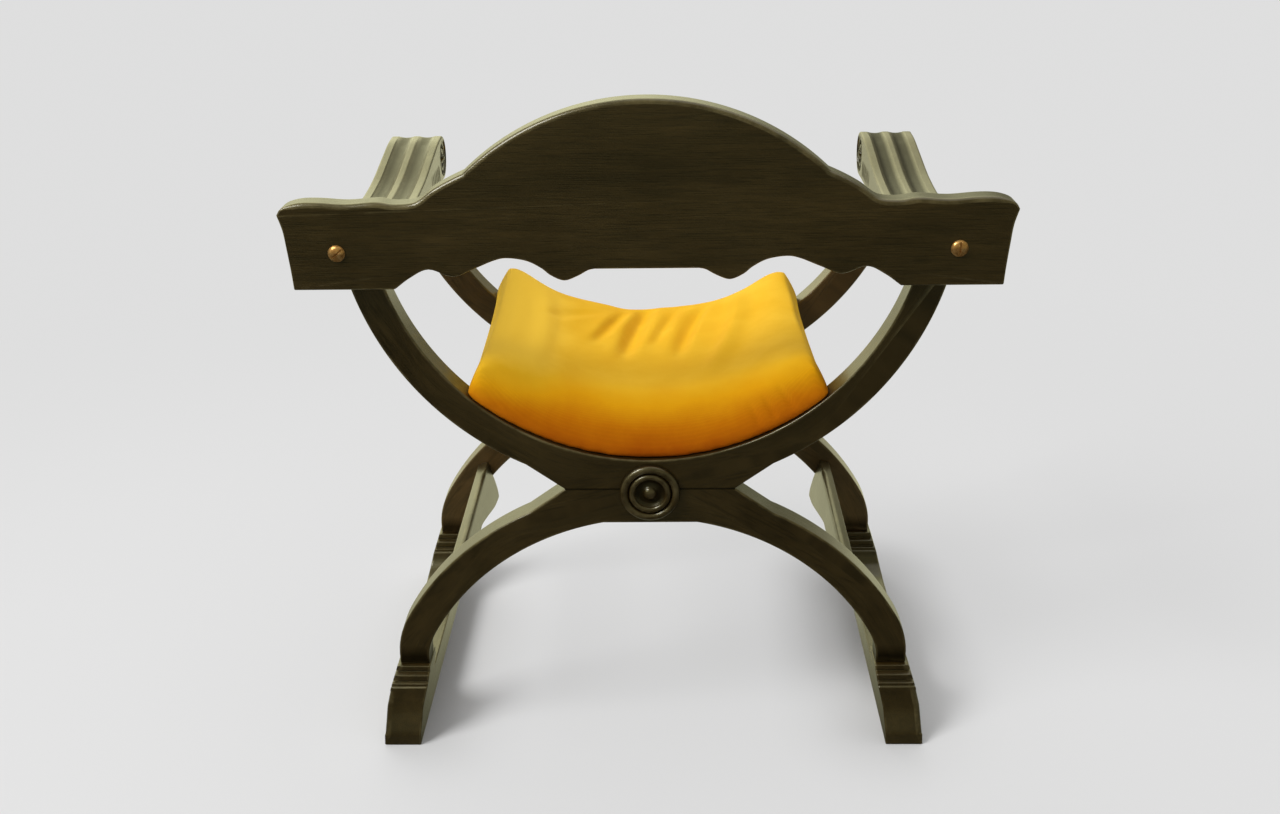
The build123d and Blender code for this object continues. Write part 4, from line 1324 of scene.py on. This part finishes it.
# its corners stand out and up, its sides pull in between them, and it lies a little askew
drift, drift_to_front, corner_growth = 0.005, 0.026, 0.02
angle = angle * (1 + corner_growth * depth_share**4) - drift - drift_to_front * to_front
depth = middle_y + (depth - middle_y) * (1 + corner_growth * (across_share**4 - 0.3))
corner_rise, corner_reach = np.where(angle > 0, 0.017, 0.012), np.where(angle > 0, 0.34, 0.26)
from_corner = ((1 - across_share) / corner_reach) ** 2 + ((1 - depth_share) / 0.36) ** 2
puff = corner_rise * np.exp(-from_corner)
# the front edge dips a little left of the middle
dip = -0.004 * np.exp(-(((flat_x + 0.030) / 0.035) ** 2)) * soft_step(to_front, 0.6, 0.95)
on_top = soft_step(height, 0.020, 0.042) * soft_step(cushion_high[1] - depth, 0.018, 0.050)
height = height + on_top * fold_height(flat_x, depth) + soft_step(height, 0.01, 0.04) * (puff + dip)
# short pleats in the near side, by its right corner
near_side = soft_step(cushion_low[1] + 0.012 - depth, 0.0, 0.010) * soft_step(height, 0.008, 0.02)
pleat_half_width = 0.0035
for pleat_x, pleat_deep in ((0.128, 0.0016), (0.146, 0.0022), (0.166, 0.0018)):
    depth = depth + near_side * pleat_deep * np.exp(-(((flat_x - pleat_x) / pleat_half_width) ** 2))
# its corners come no nearer to the board than the solid does, so that it lifts out freely
depth = stretch_to(depth, cushion_low[1], cushion_high[1])
case = from_seat(angle, depth, height)
cushion.data.vertices.foreach_set("co", case.ravel())
cushion.data.update()

# %% Colour with painted light and shade
# the way up the near side and on over the top, in metres, longer towards the cushion's two ends; the
# ends, the left one most, are painted lighter than the rest
way_in = height + depth - cushion_low[1] + 0.040 * across_share**4
painted_bright_end = soft_step(-flat_x, 0.105, 0.165) + 0.15 * soft_step(flat_x, 0.125, 0.175)
painted_light_share = 0.03 + 0.77 * soft_step(way_in, -0.01, 0.14) + 0.24 * painted_bright_end * soft_step(way_in, 0.02, 0.07)
cushion.data.attributes.new("painted_light_share", "FLOAT", "POINT").data.foreach_set("value", painted_light_share)
cushion.data.polygons.foreach_set("use_smooth", np.ones(len(cushion.data.polygons), bool))
cushion.data.materials.clear()
cushion.data.materials.append(cloth)
print("cushion from", case.min(0).round(3), "to", case.max(0).round(3))

# %% [markdown]
# ## Filling
# Inside the case lies a pad of wadding. It is drawn as the case's own surface moved inwards along its
# normals, so it can never show through.

# %% Filling
wadding, nodes = new_material("wadding")
tufts = nodes.noise(nodes.add("TexCoord", "Object"), 120.0, 6.0)
nodes.shade({"Base Color": nodes.ramp(tufts, (0.3, (0.62, 0.59, 0.52)), (0.7, (0.84, 0.82, 0.76))),
             "Roughness": 0.95,
             "Normal": nodes.bump(tufts, 0.6, 0.001)})

filling_gap = 0.003
case_points = mesh_points(cushion)
case_normals = np.empty(case_points.size)
cushion.data.vertex_normals.foreach_get("vector", case_normals)
pad_points = case_points - filling_gap * case_normals.reshape(-1, 3)
filling_mesh = cushion.data.copy()
filling_mesh.name = "cushion_wadding"
filling_mesh.vertices.foreach_set("co", pad_points.ravel())
filling_mesh.materials.clear()
filling_mesh.materials.append(wadding)
filling = bpy.data.objects.new("cushion_wadding", filling_mesh)
bpy.context.scene.collection.objects.link(filling)
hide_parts("cushion_filling")
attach(filling, "cushion")
print("wadding", round(filling_gap * 1000, 1), "mm inside the case")

# %% [markdown]
# ## Floor, light and background
# The chair stands on a plain pale floor that runs into a pale background without a line between them.
# The light is a bright sky-like dome behind and above the chair, so that every upper face shows the
# sheen of the wax, dimmer towards the camera. A large lamp on the left gives the soft shadow on the
# right, and a larger, weaker one over the right side lights what turns away from it. Dark wood mirrors
# whatever lies before it, so the floor shows itself darker to glossy rays than to the eye. A floor that
# is only lit would never be as even as the background, so away from the feet it glows with the
# background's own grey, and only a part of it takes the shadow.

# %% Floor finish
background_tone = (0.735,) * 3
floor_tone = (0.70,) * 3
# how much of the lamps' shadow the floor takes, and from where to where it fades, in metres
far_shadow_share, far_shadow_start, far_shadow_end = 0.34, 0.8, 1.9
near_shadow_share, near_shadow_start, near_shadow_end = 0.90, 0.035, 0.16
foot_middle_x = (foot_low[0] + foot_high[0]) / 2
foot_end_y = foot_high[1] - 0.02

floor_material, nodes = new_material("pale_floor")
lit = nodes.shade({"Base Color": floor_tone, "Roughness": 1.0, "Specular IOR Level": 0.0})
glow = nodes.add("Emission", "Emission", {"Color": background_tone, "Strength": 1.0})
floor_place = nodes.add("TexCoord", "Object")
floor_y = nodes.add("SeparateXYZ", "Y", {0: floor_place})
mirrored_level = nodes.carry_over(floor_y, -0.4, 0.6, 0.04, 0.85, "SMOOTHSTEP")
dim = nodes.add("Emission", "Emission", {"Color": (1.0, 0.98, 0.62), "Strength": mirrored_level})

from_chair = nodes.vector("LENGTH", "Value", floor_place)
far_glow = nodes.carry_over(from_chair, far_shadow_start, far_shadow_end, 1 - far_shadow_share, 1.0,
                            "SMOOTHSTEP")
# distance from the nearer foot: beyond its middle line in x, beyond its ends in y
beside_foot = nodes.vector("ABSOLUTE", "Vector", floor_place)
beside_foot = nodes.vector("SUBTRACT", "Vector", beside_foot, (foot_middle_x, foot_end_y, 0))
beside_foot = nodes.vector("MAXIMUM", "Vector", beside_foot, (-foot_middle_x, 0, 0))
from_foot = nodes.vector("LENGTH", "Value", beside_foot)
near_glow = nodes.carry_over(from_foot, near_shadow_start, near_shadow_end, 1 - near_shadow_share, 1.0,
                             "SMOOTHSTEP")

seen, mirrored_ray = (nodes.add("LightPath", ray) for ray in ("Is Camera Ray", "Is Glossy Ray"))
glow_part = nodes.number("MULTIPLY", nodes.number("MULTIPLY", far_glow, near_glow), seen)
to_the_eye = nodes.add("MixShader", "Shader", {0: glow_part, 1: lit, 2: glow})
floor_look = nodes.add("MixShader", "Shader", {0: mirrored_ray, 1: to_the_eye, 2: dim})
nodes.fill(nodes.tree.nodes["Material Output"], {"Surface": floor_look})

# %% Floor
bpy.ops.mesh.primitive_plane_add(size=12.0, location=(0, 0, -0.0002))
floor = bpy.context.active_object
floor.name = "floor"
floor.data.materials.append(floor_material)
print("floor of", floor.dimensions[0], "m")

# %% World
brightest_direction = (-0.28, 0.81, 0.515)
world = bpy.data.worlds.new("studio")
bpy.context.scene.world = world
nodes = NodeMaker(world)
seen, mirrored_ray = (nodes.add("LightPath", ray) for ray in ("Is Camera Ray", "Is Glossy Ray"))
towards_dome = nodes.vector("DOT_PRODUCT", "Value", nodes.add("TexCoord", "Generated"),
                            brightest_direction)
# a mirrored wall looks a little warmer than the light it sends out
dome = nodes.fill(nodes.tree.nodes["Background"], {
    "Color": nodes.mix(mirrored_ray, white, (1.0, 0.985, 0.61)),
    "Strength": nodes.carry_over(towards_dome, 0.74, 0.99, 0.32, 1.75, "SMOOTHSTEP")})
backdrop = nodes.add("Background", "Background", {"Color": background_tone})
world_look = nodes.add("MixShader", "Shader", {0: seen, 1: dome.outputs["Background"], 2: backdrop})
nodes.fill(nodes.tree.nodes["World Output"], {"Surface": world_look})
print("world:", len(nodes.tree.nodes), "nodes")

# %% Lamps
def soft_lamp(name, place, target_z, size, power):
    """A square area lamp that points at a height over the middle of the floor."""
    data = bpy.data.lights.new(name, "AREA")
    data.size = size
    data.energy = power
    lamp = bpy.data.objects.new(name, data)
    lamp.location = place
    down = Vector((0, 0, target_z)) - Vector(place)
    lamp.rotation_euler = down.to_track_quat("-Z", "Y").to_euler()
    bpy.context.scene.collection.objects.link(lamp)
    print(name, size, "m wide,", power, "W")


soft_lamp("left_key", (-3.5, -2.2, 4.7), target_z=0.2, size=2.3, power=262)
soft_lamp("right_fill", (1.2, 0.6, 4.2), target_z=0.3, size=4.0, power=44)

# %% [markdown]
# ## Outer size and view
# The dressed chair must be as large as its imported model. The picture is shown with Blender's Standard
# view transform.

# %% View transform
bpy.context.scene.view_settings.view_transform = "Standard"
